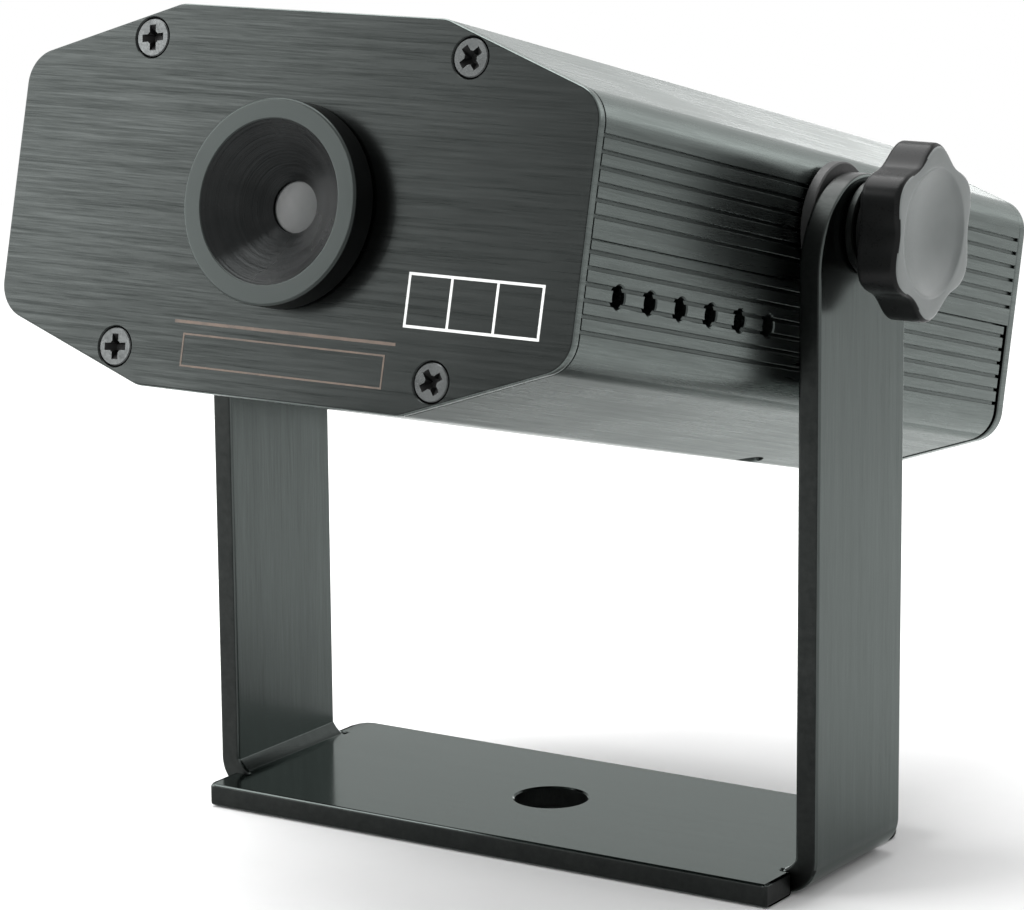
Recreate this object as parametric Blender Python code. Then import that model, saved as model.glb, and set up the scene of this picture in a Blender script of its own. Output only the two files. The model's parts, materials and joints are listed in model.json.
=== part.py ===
# Laser light projector: an extruded two-part housing that tilts in a folded sheet yoke.
# Metres, +Z up. Light leaves along -Y, and the yoke's plate lies on Z = 0.

import math

import bmesh
import bpy
from mathutils import Matrix, Vector

mm = 0.001

# General fits
seat_gap = 0.3 * mm            # between pieces that touch
running_gap = 0.3 * mm         # round shafts, screws in holes and sliding pieces
facet_turn = math.radians(15)  # of a fillet, for each facet

# Housing
housing_width = 92.0 * mm
housing_height = 51.6 * mm
housing_length = 127.8 * mm    # over both end plates
top_flat = 42.4 * mm           # between the virtual corners of the flat top
side_flat = 34.4 * mm          # between the virtual corners of a side
side_corner_radius = 5.0 * mm
top_corner_radius = 4.0 * mm
wall = 2.4 * mm
front_plate_thickness = 1.5 * mm
back_plate_thickness = 2.0 * mm
plate_edge_round = 0.25 * mm
lower_shell_setback = 1.0 * mm  # the lower shell stops short of the back plate
split_height = -0.7 * mm
tilt_degrees = 14.0
pivot_rise = 8.1 * mm          # tilt axis above mid-height
pivot_height = 93.3 * mm       # tilt axis above the ground

# Grooves along both sides
groove_count = 6
groove_first = 2.25 * mm
groove_pitch = 2.05 * mm
groove_width = 0.4 * mm
groove_depth = 0.4 * mm

# Tongue of the upper shell, which enters the lower one
tongue_thickness = 1.0 * mm
tongue_length = 1.0 * mm

# End plate screws and their channels in the shells
screw_along = 5.7 * mm         # from the top corner, down the slope
screw_depth = 3.15 * mm        # below the outer surface
screw_shank_radius = 1.25 * mm
screw_head_radius = 2.6 * mm
screw_head_edge = 0.12 * mm     # straight rim of the head
screw_sink = 0.05 * mm          # head below the plate's face
screw_length = 10.0 * mm
channel_radius = 3.1 * mm
channel_slot = 1.4 * mm
channel_steps = 4

# Side vents
vent_count = 6
vent_first = 9.9 * mm          # from the front face
vent_pitch = 8.1 * mm
vent_radius = 1.6 * mm
vent_z = -7.35 * mm

# Round hole in the underside, which breaks into the slope beside it
under_hole_radius = 2.8 * mm
under_hole_x = 20.9 * mm
under_hole_y = 30.3 * mm       # from the middle, towards the back

# Tray and the rails that hold it
rail_depth = 2.0 * mm
rail_thickness = 0.8 * mm
tray_thickness = 1.6 * mm
tray_front = 10.4 * mm         # from the front face
tray_back = 10.7 * mm          # from the back face

# Yoke
sheet = 3.4 * mm
arm_width = 25.4 * mm
arm_gap = 2.3 * mm             # from the housing's side
arm_round_drop = 5.3 * mm      # centre of the round end below the tilt axis
bend_radius = 1.8 * mm         # inside of the fold
bend_steps = 6
base_length = 96.2 * mm
base_depth = 41.1 * mm
base_corner_radius = 1.2 * mm
notch_width = 1.3 * mm
notch_inset = 0.6 * mm         # past the start of the fold
base_hole_radius = 5.5 * mm
sheet_edge_round = 0.5 * mm

# Clamp hardware on the tilt axis
stud_radius = 3.0 * mm
stud_reach = 7.0 * mm          # past the housing's side
stud_in_knob = 5.0 * mm
spacer_radius = 8.8 * mm
clamp_washer_radius = 6.5 * mm
clamp_washer_thickness = 1.2 * mm
insert_radius = 6.0 * mm
insert_length = 6.0 * mm
knob_radius = 12.35 * mm
knob_lobe_depth = 1.9 * mm
knob_lobes = 6
knob_head_thickness = 6.1 * mm
knob_hub_radius = 6.2 * mm
knob_hub_length = 2.9 * mm
knob_dish_radius = 8.8 * mm
knob_dish_depth = 1.7 * mm
knob_edge_round = 0.7 * mm
knob_rest_turn = 8.0           # degrees round its axis, as it was left

# Beam hood and output lens
hood_radius = 13.7 * mm
hood_rim_inner_radius = 10.9 * mm
hood_projection = 4.6 * mm
hood_spigot_radius = 7.6 * mm
hood_tail = 3.4 * mm           # behind the front plate
hood_bore_radius = 3.7 * mm
cone_depth = 6.2 * mm
lens_thickness = 1.4 * mm
lens_crown = 0.5 * mm
hood_nut_radius = 10.6 * mm    # over its corners
hood_nut_thickness = 2.0 * mm

# Grating drive
gear_module = 0.5 * mm
ring_teeth = 40
pinion_teeth = 12
gear_thickness = 2.6 * mm
tooth_fill = 0.36              # tooth share of the pitch, the rest is backlash
ring_plane = 8.9 * mm          # mid-plane of the gears, from the front face
ring_bore_radius = 3.8 * mm
ring_sleeve_radius = 5.0 * mm
grating_thickness = 0.8 * mm
carrier_thickness = 3.0 * mm
carrier_half_width = 20.0 * mm
carrier_top = 15.5 * mm
motor_angle = 160.0            # of the pinion round the beam, degrees
motor_radius = 6.0 * mm
motor_length = 16.0 * mm
motor_shaft_radius = 1.0 * mm
motor_shaft_entry = 2.0 * mm

# Laser modules and the mirror that joins their beams
module_radius = 6.0 * mm
module_aperture_radius = 1.5 * mm
green_front = 32.0 * mm        # from the front face
green_length = 34.0 * mm
red_station = 22.9 * mm        # from the front face
red_inner_x = 8.5 * mm
red_length = 24.0 * mm
block_width = 20.0 * mm
block_depth = 14.0 * mm
block_top = 9.0 * mm
mirror_radius = 4.6 * mm
mirror_thickness = 1.0 * mm
mirror_post_width = 10.2 * mm
mirror_post_depth = 2.4 * mm
mirror_post_top = 6.0 * mm

# Fan and its grille
fan_from_side = 26.0 * mm      # centre from the housing's side
fan_size = 30.0 * mm
fan_depth = 8.0 * mm
fan_rim = 1.0 * mm             # frame left outside the duct
fan_hub_radius = 6.5 * mm
fan_blades = 7
fan_blade_thickness = 0.9 * mm
fan_blade_sweep = 34.0         # degrees round the hub
fan_blade_height = 4.4 * mm
fan_hole_inset = 3.0 * mm      # screw holes from the frame's sides
fan_corner_radius = 2.5 * mm
fan_strut = 1.8 * mm
fan_strut_thickness = 1.4 * mm
fan_shaft_radius = 1.0 * mm
fan_screw_head_radius = 2.2 * mm
fan_screw_head_height = 1.2 * mm
fan_screw_shank_radius = 1.1 * mm
fan_screw_length = 8.0 * mm
grille_rings = 3
grille_centre = 3.9 * mm       # radius of the closed middle
grille_bridge = 1.4 * mm       # between two rings of slots
grille_margin = 0.7 * mm       # outermost slots inside the duct
grille_spokes = 4
grille_spoke = 2.2 * mm

# Controls behind and on the back plate
near_column = 13.0 * mm        # jack and speed control, from the middle
far_column = 28.5 * mm         # rocker and slide switch, from the middle
board_left = 3.0 * mm
board_right = 37.0 * mm
board_top = 16.5 * mm
board_thickness = 1.6 * mm
board_back = 11.8 * mm         # from the back face
jack_z = -3.0 * mm
jack_width = 9.0 * mm
jack_height = 11.0 * mm
jack_nose_radius = 4.4 * mm
jack_nose_projection = 0.5 * mm
jack_bore_radius = 2.9 * mm
jack_bore_depth = 9.0 * mm
jack_pin_radius = 0.95 * mm
speed_z = 9.5 * mm
speed_body = 9.5 * mm
speed_body_depth = 5.0 * mm
speed_bush_radius = 3.0 * mm
speed_bush_projection = 1.0 * mm
speed_shaft_radius = 1.5 * mm
speed_shaft_entry = 6.0 * mm
speed_knob_radius = 5.2 * mm
speed_knob_length = 6.0 * mm
speed_knob_flutes = 18
speed_flute_depth = 0.35 * mm
mode_z = 10.5 * mm
mode_body_width = 13.0 * mm
mode_body_height = 6.0 * mm
mode_body_depth = 5.6 * mm
mode_pocket_depth = 2.6 * mm
mode_tab_width = 2.4 * mm
mode_tab_height = 2.6 * mm
mode_tab_projection = 2.2 * mm
mode_travel = 4.0 * mm
power_z = -2.5 * mm
power_width = 15.0 * mm
power_height = 10.6 * mm
power_flange = 1.5 * mm
power_rim = 1.0 * mm           # flange beyond the body
power_body_depth = 9.0 * mm
power_wall = 0.7 * mm
rocker_swing = 9.0             # each way from level, degrees
rocker_half_length = 5.0 * mm
rocker_crest = 3.3 * mm        # ends above the pivot
rocker_valley = 2.4 * mm       # middle above the pivot
rocker_keel = 1.4 * mm         # below the pivot
rocker_pivot_depth = 2.6 * mm  # below the flange's face
microphone_x = 20.3 * mm
microphone_z = 4.8 * mm
microphone_radius = 2.2 * mm
microphone_length = 3.0 * mm
microphone_hole_radius = 0.8 * mm

# Derived places
half_width = housing_width / 2
front_face = -housing_length / 2
back_face = housing_length / 2
front_inner = front_face + front_plate_thickness
back_inner = back_face - back_plate_thickness
side_inner = half_width - wall
arm_inner = half_width + arm_gap
arm_outer = arm_inner + sheet
fan_x = fan_from_side - half_width
fan_duct_radius = fan_size / 2 - fan_rim
fan_hole_pitch = fan_size - 2 * fan_hole_inset
grille_reach = fan_duct_radius - grille_margin - grille_centre
grille_slot = (grille_reach - (grille_rings - 1) * grille_bridge) / grille_rings
rim_step = side_inner + tongue_thickness
board_face = back_face - board_back
carrier_front = front_face + ring_plane + gear_thickness / 2 + 1.3 * running_gap
carrier_back = carrier_front + carrier_thickness
gear_distance = gear_module * (ring_teeth + pinion_teeth) / 2
pinion_x = gear_distance * math.cos(math.radians(motor_angle))
pinion_z = gear_distance * math.sin(math.radians(motor_angle))
hub_start = arm_outer + 2 * seat_gap + clamp_washer_thickness

to_front = (math.pi / 2, 0, 0)     # a turned piece's +Z to -Y
to_back = (-math.pi / 2, 0, 0)     # to +Y
to_right = (0, math.pi / 2, 0)     # to +X
to_left = (0, -math.pi / 2, 0)     # to -X


def clear_scene():
    for thing in list(bpy.data.objects):
        bpy.data.objects.remove(thing)


# Materials

def finish(name, colour, roughness, metallic):
    material = bpy.data.materials.get(name) or bpy.data.materials.new(name)
    material.use_nodes = True
    shader = material.node_tree.nodes["Principled BSDF"]
    shader.inputs["Base Color"].default_value = (*colour, 1.0)
    shader.inputs["Roughness"].default_value = roughness
    shader.inputs["Metallic"].default_value = metallic
    return material


def dark_anodised():
    return finish("dark_anodised", (0.13, 0.14, 0.135), 0.34, 1.0)


def satin_aluminium():
    return finish("satin_aluminium", (0.55, 0.56, 0.55), 0.32, 1.0)


def black_anodised():
    return finish("black_anodised", (0.035, 0.037, 0.038), 0.38, 0.8)


def steel():
    return finish("steel", (0.45, 0.46, 0.46), 0.3, 1.0)


def black_plastic():
    return finish("black_plastic", (0.03, 0.03, 0.032), 0.45, 0.0)


def grey_rubber():
    return finish("grey_rubber", (0.2, 0.2, 0.2), 0.75, 0.0)


def brass():
    return finish("brass", (0.7, 0.52, 0.22), 0.3, 1.0)


def clear_glass():
    return finish("clear_glass", (0.75, 0.8, 0.8), 0.05, 0.0)


def board_green():
    return finish("board_green", (0.03, 0.16, 0.07), 0.5, 0.0)


def white_plastic():
    return finish("white_plastic", (0.75, 0.75, 0.72), 0.45, 0.0)


# Placing and cutting

def new_object(name, mesh, material, parent, location=(0, 0, 0), rotation=(0, 0, 0)):
    thing = bpy.data.objects.new(name, mesh)
    bpy.context.scene.collection.objects.link(thing)
    thing.parent = parent
    thing.location = location
    thing.rotation_euler = rotation
    if material and not mesh.materials:
        mesh.materials.append(material)
    return thing


def new_empty(name, parent, location=(0, 0, 0), rotation=(0, 0, 0)):
    return new_object(name, None, None, parent, location, rotation)


def boolean(target, name, mesh, operation="DIFFERENCE", location=(0, 0, 0), rotation=(0, 0, 0)):
    tool = new_object(f"{target.name}_{name}", mesh, None, target, location, rotation)
    tool.display_type = "WIRE"
    tool.hide_render = True
    modifier = target.modifiers.new(name, "BOOLEAN")
    modifier.operation = operation
    modifier.solver = "EXACT"
    modifier.object = tool


def bevel(target, width, segments=2, angle=40):
    modifier = target.modifiers.new("edge_round", "BEVEL")
    modifier.width = width
    modifier.segments = segments
    modifier.limit_method = "ANGLE"
    modifier.angle_limit = math.radians(angle)
    modifier.use_clamp_overlap = False


# Meshes, each in its piece's own frame

def to_mesh(name, bm, round_piece=False):
    bmesh.ops.recalc_face_normals(bm, faces=bm.faces)
    mesh = bpy.data.meshes.new(name)
    bm.to_mesh(mesh)
    bm.free()
    if round_piece:
        mesh.shade_smooth()
        mesh.set_sharp_from_angle(angle=math.radians(32))
    return mesh


def along_axis(axis, first, second, height):
    # (x, y) across Z, (x, z) across Y, (y, z) across X
    places = {"Z": (first, second, height), "Y": (first, height, second), "X": (height, first, second)}
    return places[axis]


def prism(name, outline, start, end, axis="Z", round_piece=False):
    bm = bmesh.new()
    corners = [bm.verts.new(along_axis(axis, a, b, start)) for a, b in outline]
    grown = bmesh.ops.extrude_face_region(bm, geom=[bm.faces.new(corners)])
    moved = [part for part in grown["geom"] if isinstance(part, bmesh.types.BMVert)]
    bmesh.ops.translate(bm, vec=Vector(along_axis(axis, 0, 0, end - start)), verts=moved)
    return to_mesh(name, bm, round_piece)


def box(name, low, high):
    bm = bmesh.new()
    bmesh.ops.create_cube(bm, size=1.0)
    bmesh.ops.scale(bm, vec=Vector(high) - Vector(low), verts=bm.verts)
    bmesh.ops.translate(bm, vec=(Vector(high) + Vector(low)) / 2, verts=bm.verts)
    return to_mesh(name, bm)


def turned(name, profile, segments=48):
    # profile is a closed loop of (radius, height) spun round Z
    bm = bmesh.new()
    points = [bm.verts.new((radius, 0, height)) for radius, height in profile]
    edges = [bm.edges.new((points[i - 1], points[i])) for i in range(len(points))]
    bmesh.ops.spin(bm, geom=points + edges, cent=(0, 0, 0), axis=(0, 0, 1),
                   angle=math.tau, steps=segments, use_merge=True)
    bmesh.ops.remove_doubles(bm, verts=bm.verts, dist=1e-6)
    bmesh.ops.dissolve_degenerate(bm, edges=bm.edges, dist=1e-7)
    return to_mesh(name, bm, True)


def ring(name, inner, outer, start, end, segments=48):
    return turned(name, [(inner, start), (outer, start), (outer, end), (inner, end)], segments)


def rods(name, centres, radius, start, end, axis="Z", segments=24):
    # parallel cylinders in one mesh
    turns = {"Z": Matrix(), "Y": Matrix.Rotation(math.pi / 2, 4, "X"),
             "X": Matrix.Rotation(math.pi / 2, 4, "Y")}
    bm = bmesh.new()
    for first, second in centres:
        where = Matrix.Translation(along_axis(axis, first, second, (start + end) / 2))
        bmesh.ops.create_cone(bm, cap_ends=True, segments=segments, radius1=radius,
                              radius2=radius, depth=end - start, matrix=where @ turns[axis])
    return to_mesh(name, bm, True)


# Outlines

def arc(centre, radius, start, end, steps):
    angles = [start + (end - start) * i / steps for i in range(steps + 1)]
    return [(centre[0] + radius * math.cos(a), centre[1] + radius * math.sin(a)) for a in angles]


def circle(radius, steps):
    return arc((0, 0), radius, 0, math.tau, steps)[:-1]


def line_crossing(a, b, c, d):
    first = (b[0] - a[0], b[1] - a[1])
    second = (d[0] - c[0], d[1] - c[1])
    cross = first[0] * second[1] - first[1] * second[0]
    along = ((c[0] - a[0]) * second[1] - (c[1] - a[1]) * second[0]) / cross
    return (a[0] + first[0] * along, a[1] + first[1] * along)


def inset(corners, distance):
    # counter-clockwise convex corners, every side moved inwards
    lines = []
    for i, start in enumerate(corners):
        end = corners[(i + 1) % len(corners)]
        length = math.dist(start, end)
        shift = (-(end[1] - start[1]) / length * distance, (end[0] - start[0]) / length * distance)
        lines.append([(p[0] + shift[0], p[1] + shift[1]) for p in (start, end)])
    return [line_crossing(*lines[i - 1], *lines[i]) for i in range(len(lines))]


def rounded(before, corner, after, radius, facet=facet_turn):
    # the fillet at one corner, walked from before to after
    into = Vector(corner) - Vector(before)
    out = Vector(after) - Vector(corner)
    turn = -into.angle_signed(out)
    start = Vector(corner) - into.normalized() * radius * math.tan(abs(turn) / 2)
    side = 1 if turn > 0 else -1
    centre = start + Vector((-into.y, into.x)).normalized() * side * radius
    first = math.atan2(start.y - centre.y, start.x - centre.x)
    return arc(centre, radius, first, first + turn, math.ceil(abs(turn) / facet))


def rounded_loop(corners, radii, facet=facet_turn):
    points = []
    for i, corner in enumerate(corners):
        after = corners[(i + 1) % len(corners)]
        points += rounded(corners[i - 1], corner, after, radii[i], facet)
    return points


def rectangle(half_x, half_y):
    return [(half_x, -half_y), (half_x, half_y), (-half_x, half_y), (-half_x, -half_y)]


def mirrored(points):
    return [(-x, z) for x, z in reversed(points)]


# Housing section. Each half is drawn as the upper one, in x and height from mid-height.

def section_corners():
    right = [(half_width, -side_flat / 2), (half_width, side_flat / 2)]
    top = [(top_flat / 2, housing_height / 2), (-top_flat / 2, housing_height / 2)]
    return right + top + [(-x, -z) for x, z in right + top]


def plate_outline():
    radii = [side_corner_radius, side_corner_radius, top_corner_radius, top_corner_radius]
    return rounded_loop(section_corners(), radii * 2)


def side_radius_inside():
    return side_corner_radius - wall


def inner_corners():
    # inner side foot, side corner and top corner of the right half
    corners = inset(section_corners(), wall)
    return (side_inner, 0.0), corners[1], corners[2]


def screw_centre():
    top = Vector((top_flat / 2, housing_height / 2))
    down = (Vector((half_width, side_flat / 2)) - top).normalized()
    inward = Vector((down.y, -down.x))
    centre = top + down * screw_along + inward * screw_depth
    return (centre.x, centre.y)


def screw_centres():
    x, z = screw_centre()
    return [(x, z), (-x, z), (-x, -z), (x, -z)]


def inner_straight_end():
    # height at which the inner side wall starts to curve
    foot, side, top = inner_corners()
    turn = math.atan2(side[0] - top[0], top[1] - side[1])
    return side[1] - side_radius_inside() * math.tan(turn / 2)


def rail_levels():
    # edges of both rails, as distances below mid-height, from the split downwards
    end = inner_straight_end() - 0.1 * mm
    slot_end = end - rail_thickness
    slot_start = slot_end - tray_thickness - 2 * seat_gap
    return slot_start - rail_thickness, slot_start, slot_end, end


def tray_top():
    return -(rail_levels()[1] + seat_gap)


def rails():
    reach = side_inner - rail_depth
    first, second, third, fourth = rail_levels()
    return [(side_inner, first), (reach, first), (reach, second), (side_inner, second),
            (side_inner, third), (reach, third), (reach, fourth), (side_inner, fourth)]


def grooves():
    deep = half_width - groove_depth
    points = []
    for i in range(groove_count):
        low = groove_first + groove_pitch * i - groove_width / 2
        high = low + groove_width
        points += [(half_width, low), (deep, low), (deep, high), (half_width, high)]
    return points


def screw_channel(start, end):
    # open screw channel on the inner wall, walked from start towards end
    centre = Vector(screw_centre())
    along = (Vector(end) - Vector(start)).normalized()
    inward = Vector((-along.y, along.x))
    offset = (centre - Vector(start)).dot(inward)
    facing = math.atan2(inward.y, inward.x)
    swing = math.pi / 2 + math.asin(offset / channel_radius)
    bore = screw_shank_radius + running_gap
    lip_outside = math.asin(channel_slot / 2 / channel_radius)
    lip_inside = math.asin(channel_slot / 2 / bore)
    points = arc(centre, channel_radius, facing + swing, facing + lip_outside, channel_steps)
    points += arc(centre, bore, facing + lip_inside, facing + math.tau - lip_inside, 2 * channel_steps)
    points += arc(centre, channel_radius, facing - lip_outside, facing - swing, channel_steps)
    return points


def half_section(rim, step, step_level, with_rails):
    # rim: height of the outer lip, step and step_level: where its inner half begins
    side = (half_width, side_flat / 2)
    top = (top_flat / 2, housing_height / 2)
    outer = [(half_width, rim)] + grooves()
    outer += rounded((half_width, 0), side, top, side_corner_radius)
    outer += rounded(side, top, (0, top[1]), top_corner_radius)
    inner_foot, inner_side, inner_top = inner_corners()
    inner = [(step, rim), (step, step_level), (side_inner, step_level)]
    inner += rails() if with_rails else []
    inner += rounded(inner_foot, inner_side, inner_top, side_radius_inside())
    inner += screw_channel(inner_side, inner_top)
    inner += [inner_top]
    return outer + mirrored(outer) + mirrored(inner)[::-1] + inner[::-1]


def shell(name, section, sign, start, end, parent):
    outline = [(x, sign * z) for x, z in section]
    mesh = prism(name, outline, start, end, "Y", True)
    return new_object(name, mesh, dark_anodised(), parent)


def build_upper_shell(parent):
    rim = split_height + seat_gap / 2
    section = half_section(rim, rim_step, rim - tongue_length, False)
    start = front_inner + seat_gap
    upper = shell("upper_shell", section, 1, start, back_inner - seat_gap, parent)
    reach = half_width + wall
    hole = rods("stud_holes", [(0, pivot_rise)], stud_radius + 2 * running_gap, -reach, reach, "X")
    boolean(upper, "stud_holes", hole)
    return upper


def build_lower_shell(parent):
    rim = -split_height + seat_gap / 2
    level = -split_height - seat_gap / 2 + tongue_length + seat_gap
    section = half_section(rim, rim_step + running_gap, level, True)
    start = front_inner + seat_gap
    end = back_inner - seat_gap - lower_shell_setback
    lower = shell("lower_shell", section, -1, start, end, parent)
    first = front_face + vent_first
    centres = [(first + vent_pitch * i, vent_z) for i in range(vent_count)]
    reach = half_width + wall
    boolean(lower, "vents", rods("vents", centres, vent_radius, -reach, reach, "X", 12))
    floor = -housing_height / 2
    hole = rods("under_hole", [(under_hole_x, under_hole_y)], under_hole_radius,
                floor - wall, floor + wall + running_gap)
    boolean(lower, "under_hole", hole)
    return lower


# End plates

def countersinks(outer, inner):
    # cone-shaped holes for the screws, outer and inner being the plate's faces in y
    bm = bmesh.new()
    hole = screw_shank_radius + running_gap
    head = screw_head_radius + running_gap
    over = (inner - outer) * 0.1
    growth = (head - hole) / abs(inner - outer) * abs(over)
    turn = Matrix.Rotation(math.pi / 2, 4, "X")
    for x, z in screw_centres():
        where = Matrix.Translation((x, (outer + inner) / 2, z)) @ turn
        low = hole - growth if outer < inner else head + growth
        high = head + growth if outer < inner else hole - growth
        bmesh.ops.create_cone(bm, cap_ends=True, segments=12, radius1=low, radius2=high,
                              depth=abs(inner - outer + 2 * over), matrix=where)
    return to_mesh("countersinks", bm, True)


def build_front_plate(parent):
    mesh = prism("front_plate", plate_outline(), front_face, front_inner, "Y")
    plate = new_object("front_plate", mesh, dark_anodised(), parent)
    bevel(plate, plate_edge_round, 1)
    boolean(plate, "countersinks", countersinks(front_face, front_inner))
    hole = rods("hood_hole", [(0, 0)], hood_spigot_radius + running_gap,
                front_face - wall, front_inner + wall, "Y", 40)
    boolean(plate, "hood_hole", hole)
    return plate


def grille_mesh():
    # ring slots broken by spokes, one prism for each slot
    bm = bmesh.new()
    for k in range(grille_rings):
        inner = grille_centre + k * (grille_slot + grille_bridge)
        outer = inner + grille_slot
        for i in range(grille_spokes):
            first = math.tau * (i + 0.5) / grille_spokes
            last = math.tau * (i + 1.5) / grille_spokes
            trim_in = math.asin(grille_spoke / 2 / inner)
            trim_out = math.asin(grille_spoke / 2 / outer)
            steps = 4 if k == grille_rings - 1 else 3
            loop = arc((fan_x, 0), outer, first + trim_out, last - trim_out, steps)
            loop += arc((fan_x, 0), inner, last - trim_in, first + trim_in, steps)
            corners = [bm.verts.new((x, back_inner - wall, z)) for x, z in loop]
            grown = bmesh.ops.extrude_face_region(bm, geom=[bm.faces.new(corners)])
            moved = [part for part in grown["geom"] if isinstance(part, bmesh.types.BMVert)]
            bmesh.ops.translate(bm, vec=(0, back_plate_thickness + 2 * wall, 0), verts=moved)
    return to_mesh("grille", bm)


def fan_screw_centres():
    reach = fan_hole_pitch / 2
    return [(fan_x + x, z) for x in (-reach, reach) for z in (-reach, reach)]


def cutout(name, centre, half_x, half_z):
    outline = [(centre[0] + x, centre[1] + z) for x, z in rectangle(half_x, half_z)]
    return prism(name, outline, back_inner - wall, back_face + wall, "Y")


def through_back(name, centres, radius, segments=20):
    return rods(name, centres, radius, back_inner - wall, back_face + wall, "Y", segments)


def build_back_plate(parent):
    mesh = prism("back_plate", plate_outline(), back_inner, back_face, "Y")
    plate = new_object("back_plate", mesh, dark_anodised(), parent)
    bevel(plate, plate_edge_round, 1)
    boolean(plate, "countersinks", countersinks(back_face, back_inner))
    boolean(plate, "grille", grille_mesh())
    holes = fan_screw_centres()
    boolean(plate, "fan_holes", through_back("fan_holes", holes, fan_screw_shank_radius + running_gap, 12))
    nose = through_back("jack_hole", [(near_column, jack_z)], jack_nose_radius + running_gap)
    boolean(plate, "jack_hole", nose)
    bush = through_back("speed_hole", [(near_column, speed_z)], speed_bush_radius + running_gap)
    boolean(plate, "speed_hole", bush)
    hole = through_back("mic_hole", [(microphone_x, microphone_z)], microphone_hole_radius, 12)
    boolean(plate, "mic_hole", hole)
    half_slot = mode_travel / 2 + mode_tab_width / 2 + running_gap
    slot = cutout("mode_slot", (far_column, mode_z), half_slot, mode_tab_height / 2 + running_gap)
    boolean(plate, "mode_slot", slot)
    body_x = power_width / 2 - power_rim + running_gap
    body_z = power_height / 2 - power_rim + running_gap
    boolean(plate, "power_hole", cutout("power_hole", (far_column, power_z), body_x, body_z))
    return plate


def build_plate_screws(parent):
    neck = screw_shank_radius - screw_head_radius - screw_head_edge
    profile = [
        (0, 0), (screw_head_radius, 0), (screw_head_radius, -screw_head_edge),
        (screw_shank_radius, neck), (screw_shank_radius, -screw_length), (0, -screw_length),
    ]
    mesh = turned("plate_screw", profile, 12)
    for i, (x, z) in enumerate(screw_centres()):
        spot = (x, front_face + screw_sink, z)
        new_object(f"front_screw_{i + 1}", mesh, steel(), parent, spot, to_front)
        spot = (x, back_face - screw_sink, z)
        new_object(f"back_screw_{i + 1}", mesh, steel(), parent, spot, to_back)


# Beam hood, in front of the front plate, its +Z towards the audience

def build_hood(parent):
    lip = hood_projection
    bore_start = lip - cone_depth
    flange_back = seat_gap
    tail = -front_plate_thickness - hood_tail
    edge = 0.3 * mm
    profile = [
        (hood_rim_inner_radius, lip), (hood_radius - edge, lip), (hood_radius, lip - edge),
        (hood_radius, flange_back), (hood_spigot_radius, flange_back), (hood_spigot_radius, tail),
        (hood_bore_radius, tail), (hood_bore_radius, bore_start),
    ]
    mesh = turned("lens_hood", profile, 40)
    new_object("lens_hood", mesh, black_anodised(), parent, (0, front_face, 0), to_front)
    radius = hood_bore_radius - running_gap
    top = bore_start - 0.2 * mm
    dome = []
    for i in range(5):
        share = i / 4
        dome.append((radius * (1 - share), top - lens_crown * (1 - share) ** 2))
    profile = dome + [(0, top - lens_crown - lens_thickness), (radius, top - lens_crown - lens_thickness)]
    lens = turned("output_lens", profile, 24)
    new_object("output_lens", lens, clear_glass(), parent, (0, front_face, 0), to_front)
    nut = prism("hood_nut", circle(hood_nut_radius, 6), 0, hood_nut_thickness)
    spot = (0, front_inner + seat_gap + hood_nut_thickness, 0)
    nut = new_object("hood_nut", nut, steel(), parent, spot, to_front)
    hole = rods("bore", [(0, 0)], hood_spigot_radius + running_gap, -wall, 2 * wall, "Z", 40)
    boolean(nut, "bore", hole)


# Tray and what stands on it

def build_tray(parent):
    half = side_inner - running_gap
    top = tray_top()
    low = (-half, front_face + tray_front, top - tray_thickness)
    mesh = box("tray", low, (half, back_face - tray_back, top))
    return new_object("tray", mesh, satin_aluminium(), parent)


def gear_outline(teeth):
    # straight-flanked teeth, one of them centred on +X
    pitch_radius = gear_module * teeth / 2
    half_tooth = math.pi * gear_module * tooth_fill / 2
    levels = (-1.25, 0.9)
    outline = []
    for i in range(teeth):
        middle = math.tau * i / teeth
        flank = []
        for level in levels:
            radius = pitch_radius + level * gear_module
            half = half_tooth - level * gear_module * math.tan(math.radians(20))
            flank.append((radius, half / radius))
        outline += [(r * math.cos(middle - a), r * math.sin(middle - a)) for r, a in flank]
        outline += [(r * math.cos(middle + a), r * math.sin(middle + a)) for r, a in reversed(flank)]
    return outline


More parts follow.
